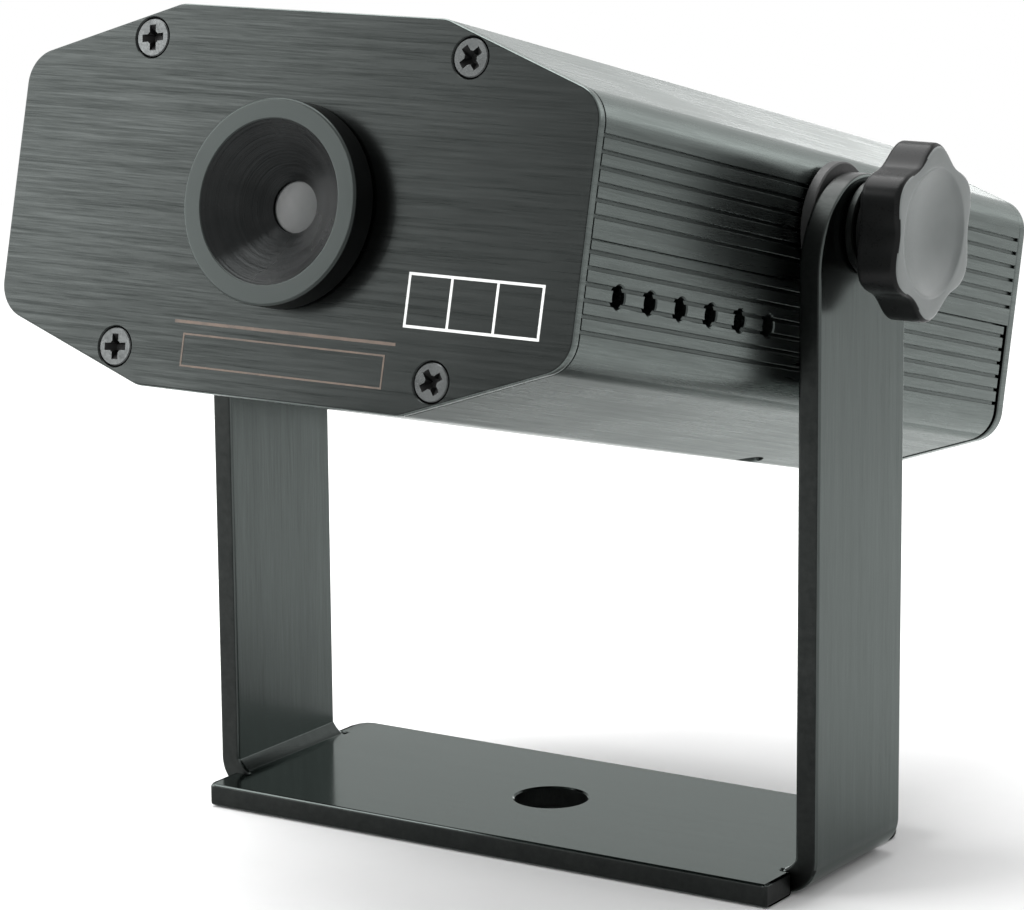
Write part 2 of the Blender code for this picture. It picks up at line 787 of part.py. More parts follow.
def build_grating_drive(parent):
    front = front_face + ring_plane - gear_thickness / 2
    floor = tray_top() + seat_gap
    plate = box("grating_carrier", (-carrier_half_width, carrier_front, floor),
                (carrier_half_width, carrier_back, carrier_top))
    carrier = new_object("grating_carrier", plate, satin_aluminium(), parent)
    bearing = rods("bearing", [(0, 0)], ring_sleeve_radius + running_gap,
                   carrier_front - wall, carrier_back + wall, "Y", 32)
    boolean(carrier, "bearing", bearing)
    passage = rods("shaft_hole", [(pinion_x, pinion_z)], motor_shaft_radius + 1.5 * running_gap,
                   carrier_front - wall, carrier_back + wall, "Y", 16)
    boolean(carrier, "shaft_hole", passage)

    # the ring gear runs in the carrier on its sleeve
    spin = new_empty("grating_axis", parent, (0, front, 0))
    rim = prism("grating_gear", gear_outline(ring_teeth), 0, gear_thickness, "Y")
    gear = new_object("grating_gear", rim, white_plastic(), spin)
    sleeve_end = carrier_back + running_gap - front
    sleeve = rods("sleeve", [(0, 0)], ring_sleeve_radius, gear_thickness / 2, sleeve_end, "Y", 32)
    boolean(gear, "sleeve", sleeve, "UNION")
    bore = rods("bore", [(0, 0)], ring_bore_radius, -wall, sleeve_end + wall, "Y", 32)
    boolean(gear, "bore", bore)
    disc = rods("grating_disc", [(0, 0)], ring_bore_radius - running_gap,
                seat_gap, seat_gap + grating_thickness, "Y", 32)
    new_object("grating_disc", disc, clear_glass(), spin)

    # the pinion, turned so that its teeth enter the ring's gaps
    axis = new_empty("pinion_axis", parent, (pinion_x, front, pinion_z))
    toward = math.radians(motor_angle)
    ring_phase = toward / (math.tau / ring_teeth) % 1.0
    pinion_phase = math.pi + toward + (ring_phase - 0.5) * math.tau / pinion_teeth
    points = [Vector(p) for p in gear_outline(pinion_teeth)]
    turn = Matrix.Rotation(pinion_phase, 2)
    outline = [tuple(turn @ p) for p in points]
    pinion = new_object("motor_pinion", prism("motor_pinion", outline, 0, gear_thickness, "Y"), brass(), axis)
    shaft_end = carrier_back + seat_gap + motor_shaft_entry - front
    shaft = rods("shaft", [(0, 0)], motor_shaft_radius, gear_thickness / 2, shaft_end, "Y", 16)
    boolean(pinion, "shaft", shaft, "UNION")

    start = carrier_back + seat_gap
    can = rods("grating_motor", [(0, 0)], motor_radius, 0, motor_length, "Y", 32)
    motor = new_object("grating_motor", can, steel(), parent, (pinion_x, start, pinion_z))
    socket = rods("shaft_socket", [(0, 0)], motor_shaft_radius + running_gap,
                  -wall, motor_shaft_entry + running_gap, "Y", 16)
    boolean(motor, "shaft_socket", socket)


def laser_module(name, length, parent, location, rotation):
    # a brass barrel, its +Z the way the light goes
    step = 1.0 * mm
    profile = [
        (0, -length), (module_radius - step, -length), (module_radius, -length + step),
        (module_radius, 0), (module_aperture_radius, 0), (module_aperture_radius, -2 * step), (0, -2 * step),
    ]
    return new_object(name, turned(name, profile, 18), brass(), parent, location, rotation)


def laser_block(name, parent, centre, half_x, half_y, axis):
    floor = tray_top() + seat_gap
    low = (-half_x, -half_y, floor)
    block = new_object(name, box(name, low, (half_x, half_y, block_top)), satin_aluminium(), parent, centre)
    reach = max(half_x, half_y) + wall
    hole = rods("bore", [(0, 0)], module_radius + running_gap, -reach, reach, axis, 32)
    boolean(block, "bore", hole)
    return block


def build_lasers(parent):
    green_y = front_face + green_front
    laser_module("green_laser", green_length, parent, (0, green_y, 0), to_front)
    middle = green_y + green_length / 2
    laser_block("green_laser_block", parent, (0, middle, 0), block_width / 2, block_depth / 2, "Y")
    red_y = front_face + red_station
    laser_module("red_laser", red_length, parent, (red_inner_x, red_y, 0), to_left)
    middle = red_inner_x + red_length / 2
    laser_block("red_laser_block", parent, (middle, red_y, 0), block_width / 2, block_depth / 2, "X")

    # the mirror stands at 45 degrees where the two beams meet
    turn = new_empty("mirror_stand", parent, (0, red_y, 0), (0, 0, math.radians(45)))
    floor = tray_top() + seat_gap
    half = mirror_post_width / 2
    back = mirror_thickness / 2 + seat_gap
    post = box("mirror_post", (-half, back, floor), (half, back + mirror_post_depth, mirror_post_top))
    post = new_object("mirror_post", post, satin_aluminium(), turn)
    reach = 2 * wall + mirror_post_depth
    window = rods("window", [(0, 0)], mirror_radius - 2 * running_gap, 0, reach, "Y", 24)
    boolean(post, "window", window)
    disc = rods("mirror", [(0, 0)], mirror_radius, -mirror_thickness / 2, mirror_thickness / 2, "Y", 24)
    new_object("mirror", disc, clear_glass(), turn)


# Fan

def fan_hub_and_struts():
    # a round hub with four straight struts out into the frame's wall
    reach = fan_size / 2 - fan_rim
    half = fan_strut / 2
    root = math.sqrt(fan_hub_radius ** 2 - half ** 2)
    lean = math.asin(half / fan_hub_radius)
    points = []
    for i in range(4):
        angle = math.tau * i / 4
        turn = Matrix.Rotation(angle, 2)
        strut = ((root, -half), (reach, -half), (reach, half), (root, half))
        points += [tuple(turn @ Vector(corner)) for corner in strut]
        points += arc((0, 0), fan_hub_radius, angle + lean, angle + math.tau / 4 - lean, 5)[1:-1]
    return points


def build_fan(parent):
    end = back_inner - seat_gap
    start = end - fan_depth
    half = fan_size / 2
    outline = rounded_loop(rectangle(half, half), [fan_corner_radius] * 4, 2 * facet_turn)
    frame = prism("fan_frame", outline, 0, fan_depth, "Y")
    frame = new_object("fan_frame", frame, black_plastic(), parent, (fan_x, start, 0))
    duct = rods("duct", [(0, 0)], fan_duct_radius, -wall, fan_depth + wall, "Y", 40)
    boolean(frame, "duct", duct)
    struts = prism("struts", fan_hub_and_struts(), 0, fan_strut_thickness, "Y")
    boolean(frame, "struts", struts, "UNION")
    reach = fan_hole_pitch / 2
    corners = [(x, z) for x in (-reach, reach) for z in (-reach, reach)]
    size = fan_screw_shank_radius + running_gap
    boolean(frame, "screw_holes", rods("screw_holes", corners, size, -wall, fan_depth + wall, "Y", 12))
    size = fan_shaft_radius + running_gap
    depth = fan_strut_thickness + wall
    boolean(frame, "shaft_hole", rods("shaft_hole", [(0, 0)], size, -wall, depth, "Y", 16))

    hub_start = fan_strut_thickness + 2 * running_gap
    hub_end = fan_depth - 2 * running_gap
    axis = new_empty("fan_axis", parent, (fan_x, start, 0))
    edge = 0.6 * mm
    profile = [
        (0, 0), (fan_shaft_radius, 0), (fan_shaft_radius, hub_start), (fan_hub_radius, hub_start),
        (fan_hub_radius, hub_end - edge), (fan_hub_radius - edge, hub_end), (0, hub_end),
    ]
    hub = turned("fan_rotor", profile, 24)
    rotor = new_object("fan_rotor", hub, black_plastic(), axis, (0, 0, 0), to_back)
    boolean(rotor, "blades", fan_blade_mesh((hub_start + hub_end) / 2), "UNION")


def fan_blade_mesh(middle):
    # twisted blades lofted from the hub to near the duct, in the rotor's frame
    bm = bmesh.new()
    root = fan_hub_radius - 0.8 * mm
    tip = fan_duct_radius - 2.2 * running_gap
    stations = 4
    for blade in range(fan_blades):
        base = math.tau * blade / fan_blades
        rings = []
        for i in range(stations):
            share = i / (stations - 1)
            radius = root + (tip - root) * share
            sweep = math.radians(fan_blade_sweep) * (1 - 0.25 * share)
            rise = fan_blade_height * (1 - 0.15 * share)
            corners = []
            for side, lift in ((-1, 0), (1, 0), (1, 1), (-1, 1)):
                angle = base + side * sweep / 2
                height = middle + side * rise / 2 + (lift - 0.5) * fan_blade_thickness
                corners.append(bm.verts.new((radius * math.cos(angle), radius * math.sin(angle), height)))
            rings.append(corners)
        for inner, outer in zip(rings, rings[1:]):
            for i in range(4):
                bm.faces.new((inner[i - 1], inner[i], outer[i], outer[i - 1]))
        bm.faces.new(rings[0])
        bm.faces.new(rings[-1])
    bmesh.ops.triangulate(bm, faces=bm.faces)
    return to_mesh("fan_blades", bm)


def build_fan_screws(parent):
    head = fan_screw_head_height
    top = fan_screw_head_radius * 0.7
    profile = [
        (0, head), (top, head), (fan_screw_head_radius, head * 0.45), (fan_screw_head_radius, 0),
        (fan_screw_shank_radius, 0), (fan_screw_shank_radius, -fan_screw_length), (0, -fan_screw_length),
    ]
    mesh = turned("fan_screw", profile, 10)
    for i, (x, z) in enumerate(fan_screw_centres()):
        spot = (x, back_face + seat_gap, z)
        new_object(f"fan_screw_{i + 1}", mesh, steel(), parent, spot, to_back)


# Controls

def build_board(parent):
    low = (board_left, board_face - board_thickness, tray_top() + seat_gap)
    mesh = box("control_board", low, (board_right, board_face, board_top))
    return new_object("control_board", mesh, board_green(), parent)


def build_jack(parent):
    start = board_face + seat_gap
    end = back_inner - seat_gap
    half_x = jack_width / 2
    half_z = jack_height / 2
    origin = (near_column, start, jack_z)
    body = box("power_jack", (-half_x, 0, -half_z), (half_x, end - start, half_z))
    jack = new_object("power_jack", body, black_plastic(), parent, origin)
    mouth = back_face + jack_nose_projection - start
    nose = rods("nose", [(0, 0)], jack_nose_radius, (end - start) / 2, mouth, "Y", 32)
    boolean(jack, "nose", nose, "UNION")
    floor = mouth - jack_bore_depth
    pin_tip = mouth - 2 * mm
    profile = [
        (0, pin_tip), (jack_pin_radius, pin_tip), (jack_pin_radius, floor), (jack_bore_radius, floor),
        (jack_bore_radius, mouth + wall), (0, mouth + wall),
    ]
    boolean(jack, "bore", turned("jack_bore", profile, 24), rotation=to_back)


def build_speed_control(parent):
    start = board_face + seat_gap
    half = speed_body / 2
    spot = (near_column, start, speed_z)
    body = box("speed_control", (-half, 0, -half), (half, speed_body_depth, half))
    control = new_object("speed_control", body, black_plastic(), parent, spot)
    bush_end = back_face + speed_bush_projection - start
    bush = rods("bush", [(0, 0)], speed_bush_radius, speed_body_depth / 2, bush_end, "Y", 32)
    boolean(control, "bush", bush, "UNION")
    bore_start = bush_end - speed_shaft_entry - running_gap
    bore = rods("bore", [(0, 0)], speed_shaft_radius + running_gap, bore_start, bush_end + wall, "Y", 24)
    boolean(control, "bore", bore)

    # the knob's cap starts just clear of the bush
    axis = new_empty("speed_axis", parent, (near_column, start + bush_end + running_gap, speed_z))
    points = []
    steps = speed_knob_flutes * 4
    for i in range(steps):
        angle = math.tau * i / steps
        radius = speed_knob_radius - speed_flute_depth * (0.5 - 0.5 * math.cos(speed_knob_flutes * angle))
        points.append((radius * math.cos(angle), radius * math.sin(angle)))
    knob = new_object("speed_knob", prism("speed_knob", points, 0, speed_knob_length), black_plastic(),
                      axis, (0, 0, 0), to_back)
    shaft = rods("shaft", [(0, 0)], speed_shaft_radius, -speed_shaft_entry, speed_knob_length / 2, "Z", 24)
    boolean(knob, "shaft", shaft, "UNION")
    half = 0.4 * mm
    mark = box("pointer", (-half, speed_knob_radius * 0.3, speed_knob_length - half),
               (half, speed_knob_radius + half, speed_knob_length + half))
    boolean(knob, "pointer", mark)


def build_mode_switch(parent):
    end = back_inner - seat_gap
    start = end - mode_body_depth
    half_x = mode_body_width / 2
    half_z = mode_body_height / 2
    origin = (far_column, start, mode_z)
    body = box("mode_switch", (-half_x, 0, -half_z), (half_x, mode_body_depth, half_z))
    switch = new_object("mode_switch", body, steel(), parent, origin)
    half_slot = mode_travel / 2 + mode_tab_width / 2 + running_gap
    half_tab = mode_tab_height / 2
    floor = mode_body_depth - mode_pocket_depth
    pocket = box("pocket", (-half_slot, floor, -half_tab - running_gap),
                 (half_slot, mode_body_depth + wall, half_tab + running_gap))
    boolean(switch, "pocket", pocket)
    tip = back_face + mode_tab_projection - start
    half = mode_tab_width / 2
    tab = box("mode_slider", (-half, floor + running_gap, -half_tab), (half, tip, half_tab))
    slider = new_object("mode_slider", tab, black_plastic(), parent, origin)
    bevel(slider, 0.25 * mm, 1)


def build_power_switch(parent):
    flange_back = back_face + seat_gap
    origin = (far_column, flange_back, power_z)
    half_x = power_width / 2
    half_z = power_height / 2
    outline = rounded_loop(rectangle(half_x, half_z), [power_rim] * 4, 2 * facet_turn)
    flange = prism("power_switch", outline, 0, power_flange, "Y")
    switch = new_object("power_switch", flange, black_plastic(), parent, origin)
    body_x = half_x - power_rim
    body_z = half_z - power_rim
    body = box("body", (-body_x, -power_body_depth, -body_z), (body_x, power_flange / 2, body_z))
    boolean(switch, "body", body, "UNION")
    pocket_x = body_x - power_wall
    pocket_z = body_z - power_wall
    pivot = power_flange - rocker_pivot_depth
    floor = pivot - rocker_keel - 1.6 * mm
    pocket = box("pocket", (-pocket_x, floor, -pocket_z), (pocket_x, power_flange + wall, pocket_z))
    boolean(switch, "pocket", pocket)

    # the rocker rests with one end pressed
    turn = math.radians(-rocker_swing)
    spot = (far_column, flange_back + pivot, power_z)
    axis = new_empty("rocker_axis", parent, spot, (0, 0, turn))
    length = rocker_half_length
    outline = [(-length, -rocker_keel), (length, -rocker_keel), (length, rocker_crest),
               (0, rocker_valley), (-length, rocker_crest)]
    half = pocket_z - running_gap
    paddle = prism("power_rocker", outline, -half, half, "Z")
    rocker = new_object("power_rocker", paddle, black_plastic(), axis)
    bevel(rocker, 0.3 * mm, 1)


def build_microphone(parent):
    end = back_inner - seat_gap
    mesh = rods("microphone", [(0, 0)], microphone_radius, -microphone_length, 0, "Y", 20)
    new_object("microphone", mesh, steel(), parent, (microphone_x, end, microphone_z))


# Yoke, cut flat and folded

def fold_start():
    return arm_inner - bend_radius


def fold_length():
    return math.pi / 2 * (bend_radius + sheet / 2)


def blank_quarter():
    # right half of the flat blank, from its front edge round to its back edge
    start = fold_start()
    arm_half = arm_width / 2
    ear_end = base_length / 2
    base_half = base_depth / 2
    round_height = pivot_height - arm_round_drop
    centre = start + fold_length() + round_height - sheet - bend_radius
    ear = rounded((0, -base_half), (ear_end, -base_half), (ear_end, 0), base_corner_radius, 2 * facet_turn)
    notch = start - notch_inset
    side = ear + [(ear_end, -arm_half - notch_width), (notch, -arm_half - notch_width), (notch, -arm_half)]
    end = arc((centre, 0), arm_half, -math.pi / 2, math.pi / 2, 16)
    return side + end + [(x, -y) for x, y in reversed(side)]


def folded(point):
    # where a point of the flat blank goes when its arm is bent up
    start = fold_start()
    across = abs(point.x)
    if across <= start or abs(point.y) > arm_width / 2 + notch_width / 2:
        return point
    sign = math.copysign(1, point.x)
    over = across - start
    angle = min(over / fold_length(), 1.0) * math.pi / 2
    rise = max(over - fold_length(), 0.0)
    radius = bend_radius + sheet - point.z
    x = start + radius * math.sin(angle)
    z = sheet + bend_radius - radius * math.cos(angle) + rise
    return Vector((sign * x, point.y, z))


def build_yoke(parent):
    right = blank_quarter()
    outline = right + [(-x, -y) for x, y in right]
    bm = bmesh.new()
    corners = [bm.verts.new((x, y, 0)) for x, y in outline]
    grown = bmesh.ops.extrude_face_region(bm, geom=[bm.faces.new(corners)])
    moved = [part for part in grown["geom"] if isinstance(part, bmesh.types.BMVert)]
    bmesh.ops.translate(bm, vec=(0, 0, sheet), verts=moved)
    for side in (-1, 1):
        for i in range(bend_steps + 1):
            where = side * (fold_start() + fold_length() * i / bend_steps)
            parts = list(bm.verts) + list(bm.edges) + list(bm.faces)
            bmesh.ops.bisect_plane(bm, geom=parts, dist=1e-6, plane_co=(where, 0, 0), plane_no=(1, 0, 0))
    for corner in bm.verts:
        corner.co = folded(corner.co.copy())
    yoke = new_object("yoke", to_mesh("yoke", bm, True), dark_anodised(), parent)
    bevel(yoke, sheet_edge_round, 1, 50)
    reach = arm_outer + wall
    holes = rods("stud_holes", [(0, pivot_height)], stud_radius + 1.5 * running_gap, -reach, reach, "X")
    boolean(yoke, "stud_holes", holes)
    hole = rods("base_hole", [(0, 0)], base_hole_radius, -wall, sheet + wall, "Z", 32)
    boolean(yoke, "base_hole", hole)
    return yoke


# Clamp on one side of the yoke, every piece turned round the tilt axis, +Z outwards

def knob_head():
    points = []
    steps = knob_lobes * 8
    middle = knob_radius - knob_lobe_depth / 2
    for i in range(steps):
        angle = math.tau * i / steps
        radius = middle + knob_lobe_depth / 2 * math.cos(knob_lobes * angle)
        angle += math.radians(knob_rest_turn)
        points.append((radius * math.cos(angle), radius * math.sin(angle)))
    return prism("knob", points, knob_hub_length, knob_hub_length + knob_head_thickness, "Z", True)


def dish_mesh():
    # a shallow bowl cut into the knob's face, spun round Z
    top = knob_hub_length + knob_head_thickness
    sphere = (knob_dish_radius ** 2 + knob_dish_depth ** 2) / (2 * knob_dish_depth)
    centre = top - knob_dish_depth + sphere
    swing = math.asin(knob_dish_radius / sphere)
    bowl = [(sphere * math.sin(swing * i / 4), centre - sphere * math.cos(swing * i / 4)) for i in range(5)]
    lid = top + wall
    return turned("dish", bowl + [(knob_dish_radius, lid), (0, lid)], 24)


def build_clamp(side, rotation, parent):
    sign = 1 if side == "right" else -1
    spacer = ring(f"{side}_spacer", stud_radius + running_gap, spacer_radius, 0, arm_gap - 2 * seat_gap, 24)
    spot = (sign * (half_width + seat_gap), 0, 0)
    new_object(f"{side}_spacer", spacer, grey_rubber(), parent, spot, rotation)
    insert = ring(f"{side}_insert", stud_radius + running_gap, insert_radius, -insert_length, 0, 20)
    spot = (sign * (side_inner - seat_gap), 0, 0)
    new_object(f"{side}_insert", insert, steel(), parent, spot, rotation)

    washer_spot = (sign * (arm_outer + seat_gap), 0, 0)
    slide = new_empty(f"{side}_clamp_slide", parent, washer_spot)
    bore = stud_radius + running_gap
    washer = ring(f"{side}_washer", bore, clamp_washer_radius, 0, clamp_washer_thickness, 24)
    new_object(f"{side}_washer", washer, steel(), slide, (0, 0, 0), rotation)
    axis = new_empty(f"{side}_knob_axis", slide, (sign * (hub_start - arm_outer - seat_gap), 0, 0))
    knob = new_object(f"{side}_knob", knob_head(), black_plastic(), axis, (0, 0, 0), rotation)
    bevel(knob, knob_edge_round, 1)
    hub = rods("hub", [(0, 0)], knob_hub_radius, 0, knob_hub_length + 1.0 * mm, "Z", 30)
    boolean(knob, "hub", hub, "UNION")
    boolean(knob, "dish", dish_mesh())
    socket = stud_in_knob + seat_gap
    hole = rods("stud_socket", [(0, 0)], stud_radius + running_gap, -wall, socket, "Z", 24)
    boolean(knob, "stud_socket", hole)
    inner_end = half_width - stud_reach - hub_start
    stud = rods(f"{side}_stud", [(0, 0)], stud_radius, inner_end, stud_in_knob, "Z", 24)
    new_object(f"{side}_stud", stud, steel(), axis, (0, 0, 0), rotation)


def centre_over_outline(stand):
    # moves the whole object so that its outline is centred on the origin
    bpy.context.view_layer.update()
    graph = bpy.context.evaluated_depsgraph_get()
    reach = []
    for thing in bpy.context.scene.objects:
        if thing.type == "MESH" and not thing.hide_render:
            shown = thing.evaluated_get(graph)
            reach += [(shown.matrix_world @ corner.co).y for corner in shown.data.vertices]
    stand.location.y = -(min(reach) + max(reach)) / 2


def build_projector():
    clear_scene()
    stand = new_empty("stand", None)
    tilt = new_empty("tilt_axis", stand, (0, 0, pivot_height), (-math.radians(tilt_degrees), 0, 0))
    middle = new_empty("housing_middle", tilt, (0, 0, -pivot_rise))
    build_yoke(stand)
    build_upper_shell(middle)
    build_lower_shell(middle)
    build_front_plate(middle)
    build_back_plate(middle)
    build_plate_screws(middle)
    build_hood(middle)
    build_tray(middle)
    build_grating_drive(middle)
    build_lasers(middle)
    build_fan(middle)
    build_fan_screws(middle)
    build_board(middle)
    build_jack(middle)
    build_speed_control(middle)
    build_mode_switch(middle)
    build_power_switch(middle)
    build_microphone(middle)
    build_clamp("right", to_right, tilt)
    build_clamp("left", to_left, tilt)
    centre_over_outline(stand)


build_projector()
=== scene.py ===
# Laser light projector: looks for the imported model, a brushed dark housing that tilts in a folded yoke.
import json
import math

import bmesh
import bpy
from mathutils import Euler, Matrix, Vector
from mathutils.bvhtree import BVHTree


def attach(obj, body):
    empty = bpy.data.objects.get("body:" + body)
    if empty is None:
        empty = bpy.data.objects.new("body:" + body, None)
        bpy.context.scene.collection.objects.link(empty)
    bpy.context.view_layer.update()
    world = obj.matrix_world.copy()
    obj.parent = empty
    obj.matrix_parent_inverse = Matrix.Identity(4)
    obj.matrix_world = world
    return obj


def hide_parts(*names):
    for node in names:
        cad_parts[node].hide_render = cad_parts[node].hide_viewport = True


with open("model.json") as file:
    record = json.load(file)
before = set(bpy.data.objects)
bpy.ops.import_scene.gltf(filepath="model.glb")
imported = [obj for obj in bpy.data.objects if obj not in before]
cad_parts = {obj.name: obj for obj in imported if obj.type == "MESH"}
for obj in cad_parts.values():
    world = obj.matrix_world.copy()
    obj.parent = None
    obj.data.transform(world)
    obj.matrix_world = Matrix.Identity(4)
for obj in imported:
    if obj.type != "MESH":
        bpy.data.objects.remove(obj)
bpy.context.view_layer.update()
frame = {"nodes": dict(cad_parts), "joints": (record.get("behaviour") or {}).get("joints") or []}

mm = 0.001
weldGap = 1e-6
jointPlaces = {joint["name"]: Vector(joint["pos_m"]) for joint in frame["joints"]}


def inMetres(value):
    return tuple(inMetres(part) for part in value) if isinstance(value, tuple) else value * mm


def measures(**millimetres):
    return {name: inMetres(value) for name, value in millimetres.items()}


housing = measures(
    halfWidth=46.0, halfHeight=25.8, halfLength=63.9, sideRound=5.0, topRound=4.0, wall=2.4,
    topHalf=21.2, sideHalf=17.2,      # to the virtual corners of the section
    frontThick=1.5, backThick=2.0, seatGap=0.3, split=-0.7, tongue=1.0, rebate=1.3,
    setback=1.0,                      # lower shell from the back plate
    pivotRise=8.1, screwX=25.554, screwZ=20.957,
)
halfWidth, halfHeight, wall = housing["halfWidth"], housing["halfHeight"], housing["wall"]
seatGap, lean = housing["seatGap"], math.radians(14)
frontFace, backFace = -housing["halfLength"], housing["halfLength"]
frontInner, backInner = frontFace + housing["frontThick"], backFace - housing["backThick"]

tiltPlace = Matrix.Translation(jointPlaces["tilt"]) @ Matrix.Rotation(-lean, 4, "X")
housingPlace = tiltPlace @ Matrix.Translation((0, 0, -housing["pivotRise"]))
toFront = Euler((math.pi / 2, 0, 0)).to_matrix().to_4x4()
toBack = Euler((-math.pi / 2, 0, 0)).to_matrix().to_4x4()


# Meshes and objects

def addObject(name, data):
    thing = bpy.data.objects.new(name, data)
    bpy.context.scene.collection.objects.link(thing)
    return thing


def addPiece(name, bm):
    bmesh.ops.remove_doubles(bm, verts=bm.verts, dist=weldGap)
    bmesh.ops.recalc_face_normals(bm, faces=bm.faces)
    mesh = bpy.data.meshes.new(name)
    bm.to_mesh(mesh)
    bm.free()
    return addObject(name, mesh)


def addTurned(name, profile, segments):
    # a closed (radius, height) loop spun round Z
    bm = bmesh.new()
    points = [bm.verts.new((radius, 0, height)) for radius, height in profile]
    edges = [bm.edges.new((points[i - 1], points[i])) for i in range(len(points))]
    bmesh.ops.spin(bm, geom=points + edges, cent=(0, 0, 0), axis=(0, 0, 1),
                   angle=math.tau, steps=segments, use_merge=True)
    bmesh.ops.remove_doubles(bm, verts=bm.verts, dist=weldGap)
    bmesh.ops.dissolve_degenerate(bm, edges=bm.edges, dist=weldGap / 10)
    return addPiece(name, bm)


def extrudeInto(bm, corners, shift):
    face = bm.faces.new([bm.verts.new(corner) for corner in corners])
    grown = bmesh.ops.extrude_face_region(bm, geom=[face])
    moved = [part for part in grown["geom"] if isinstance(part, bmesh.types.BMVert)]
    bmesh.ops.translate(bm, vec=shift, verts=moved)


def prismInto(bm, outline, start, end):
    # outline is (x, z), drawn out along Y
    extrudeInto(bm, [(x, start, z) for x, z in outline], (0, end - start, 0))


def addPrism(name, outline, start, end):
    bm = bmesh.new()
    prismInto(bm, outline, start, end)
    return addPiece(name, bm)


def rectangle(x0, z0, x1, z1):
    return [(x0, z0), (x1, z0), (x1, z1), (x0, z1)]


def blockInto(bm, place):
    # a cube with corners at half a unit, each put where place says
    corners = bmesh.ops.create_cube(bm, size=1.0)["verts"]
    for corner in corners:
        corner.co = place(*corner.co)
    return corners


def rodInto(bm, centre, radius, start, end, axis, segments=48, endRadius=None):
    middle = (start + end) / 2
    spot, turn = {"X": ((middle, *centre), Matrix.Rotation(math.pi / 2, 4, "Y")),
                  "Y": ((centre[0], middle, centre[1]), Matrix.Rotation(-math.pi / 2, 4, "X")),
                  "Z": ((*centre, middle), Matrix())}[axis]
    bmesh.ops.create_cone(bm, cap_ends=True, segments=segments, radius1=radius, radius2=endRadius or radius,
                          depth=end - start, matrix=Matrix.Translation(spot) @ turn)


def evaluated(thing):
    # the modifiers' result as the object's own plain mesh
    bpy.context.view_layer.update()
    graph = bpy.context.evaluated_depsgraph_get()
    mesh = bpy.data.meshes.new_from_object(thing.evaluated_get(graph))
    thing.modifiers.clear()
    thing.data = mesh


def cut(thing, tool):
    if isinstance(tool, bmesh.types.BMesh):
        tool = addPiece("cutter", tool)
    modifier = thing.modifiers.new("cut", "BOOLEAN")
    modifier.operation = "DIFFERENCE"
    modifier.solver = "EXACT"
    modifier.object = tool
    evaluated(thing)
    bpy.data.objects.remove(tool)


def drill(thing, *rod):
    bm = bmesh.new()
    rodInto(bm, *rod)
    cut(thing, bm)


def softenEdges(thing, width, segments=3, angle=40):
    modifier = thing.modifiers.new("edges", "BEVEL")
    modifier.width = width
    modifier.segments = segments
    modifier.limit_method = "ANGLE"
    modifier.angle_limit = math.radians(angle)
    modifier.use_clamp_overlap = False
    evaluated(thing)


def facesWhere(thing, test):
    return [face.index for face in thing.data.polygons if test(face)]


def settle(thing, place, looks, body, slotName, *nodes, sharp=30, parts=()):
    # place goes into the mesh; the first look covers the piece, the others its face lists in parts
    thing.data.transform(place)
    thing.data.materials.clear()
    for look in looks.split():
        thing.data.materials.append(finishes[look])
    for number, faces in enumerate(parts, 1):
        for index in faces:
            thing.data.polygons[index].material_index = number
    thing.data.shade_smooth()
    thing.data.set_sharp_from_angle(angle=math.radians(sharp))
    thing.modifiers.new("flatFaces", "WEIGHTED_NORMAL").keep_sharp = True
    if nodes:
        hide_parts(*nodes)
    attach(thing, body)


# Node trees

def addNode(tree, kind, links, **settings):
    # links: input name or number to a source socket or a plain value
    node = tree.nodes.new(kind)
    for key, value in settings.items():
        setattr(node, key, value)
    for key, value in links.items():
        if isinstance(value, bpy.types.NodeSocket):
            tree.links.new(value, node.inputs[key])
        else:
            node.inputs[key].default_value = value
    return node.outputs


def maths(tree, operation, *values):
    return addNode(tree, "ShaderNodeMath", dict(enumerate(values)), operation=operation)[0]


def vectorMaths(tree, operation, *values):
    outputs = addNode(tree, "ShaderNodeVectorMath", dict(enumerate(values)), operation=operation)
    return outputs["Value" if operation == "LENGTH" else "Vector"]


def mapped(tree, value, low, high, toLow, toHigh):
    return addNode(tree, "ShaderNodeMapRange", {"Value": value, "From Min": low, "From Max": high,
                                                "To Min": toLow, "To Max": toHigh})[0]


def newTree(name, **inputs):
    tree = bpy.data.node_groups.new(name, "GeometryNodeTree")
    tree.is_modifier = True
    tree.interface.new_socket("Geometry", in_out="OUTPUT", socket_type="NodeSocketGeometry")
    for label, kind in {"Geometry": "Geometry", **inputs}.items():
        tree.interface.new_socket(label, in_out="INPUT", socket_type="NodeSocket" + kind)
    return tree, tree.nodes.new("NodeGroupInput").outputs, tree.nodes.new("NodeGroupOutput").inputs["Geometry"]


def endTree(tree, geometry, given, result):
    done = addNode(tree, "GeometryNodeSetMaterial", {"Geometry": geometry, "Material": given["material"]})
    tree.links.new(done[0], result)
    return tree


def addTree(thing, tree, **values):
    modifier = thing.modifiers.new(tree.name, "NODES")
    modifier.node_group = tree
    for item in tree.interface.items_tree:
        if item.in_out == "INPUT" and item.name in values:
            modifier[item.identifier] = values[item.name]


def runTree(thing, tree, **values):
    addTree(thing, tree, **values)
    evaluated(thing)


def copiesOn(tree, points, source, **placing):
    # the source object on every point, as real geometry
    shape = addNode(tree, "GeometryNodeObjectInfo", {"Object": source, "As Instance": True})["Geometry"]
    copies = addNode(tree, "GeometryNodeInstanceOnPoints", {"Points": points, "Instance": shape, **placing})
    return addNode(tree, "GeometryNodeRealizeInstances", {"Geometry": copies[0]})[0]


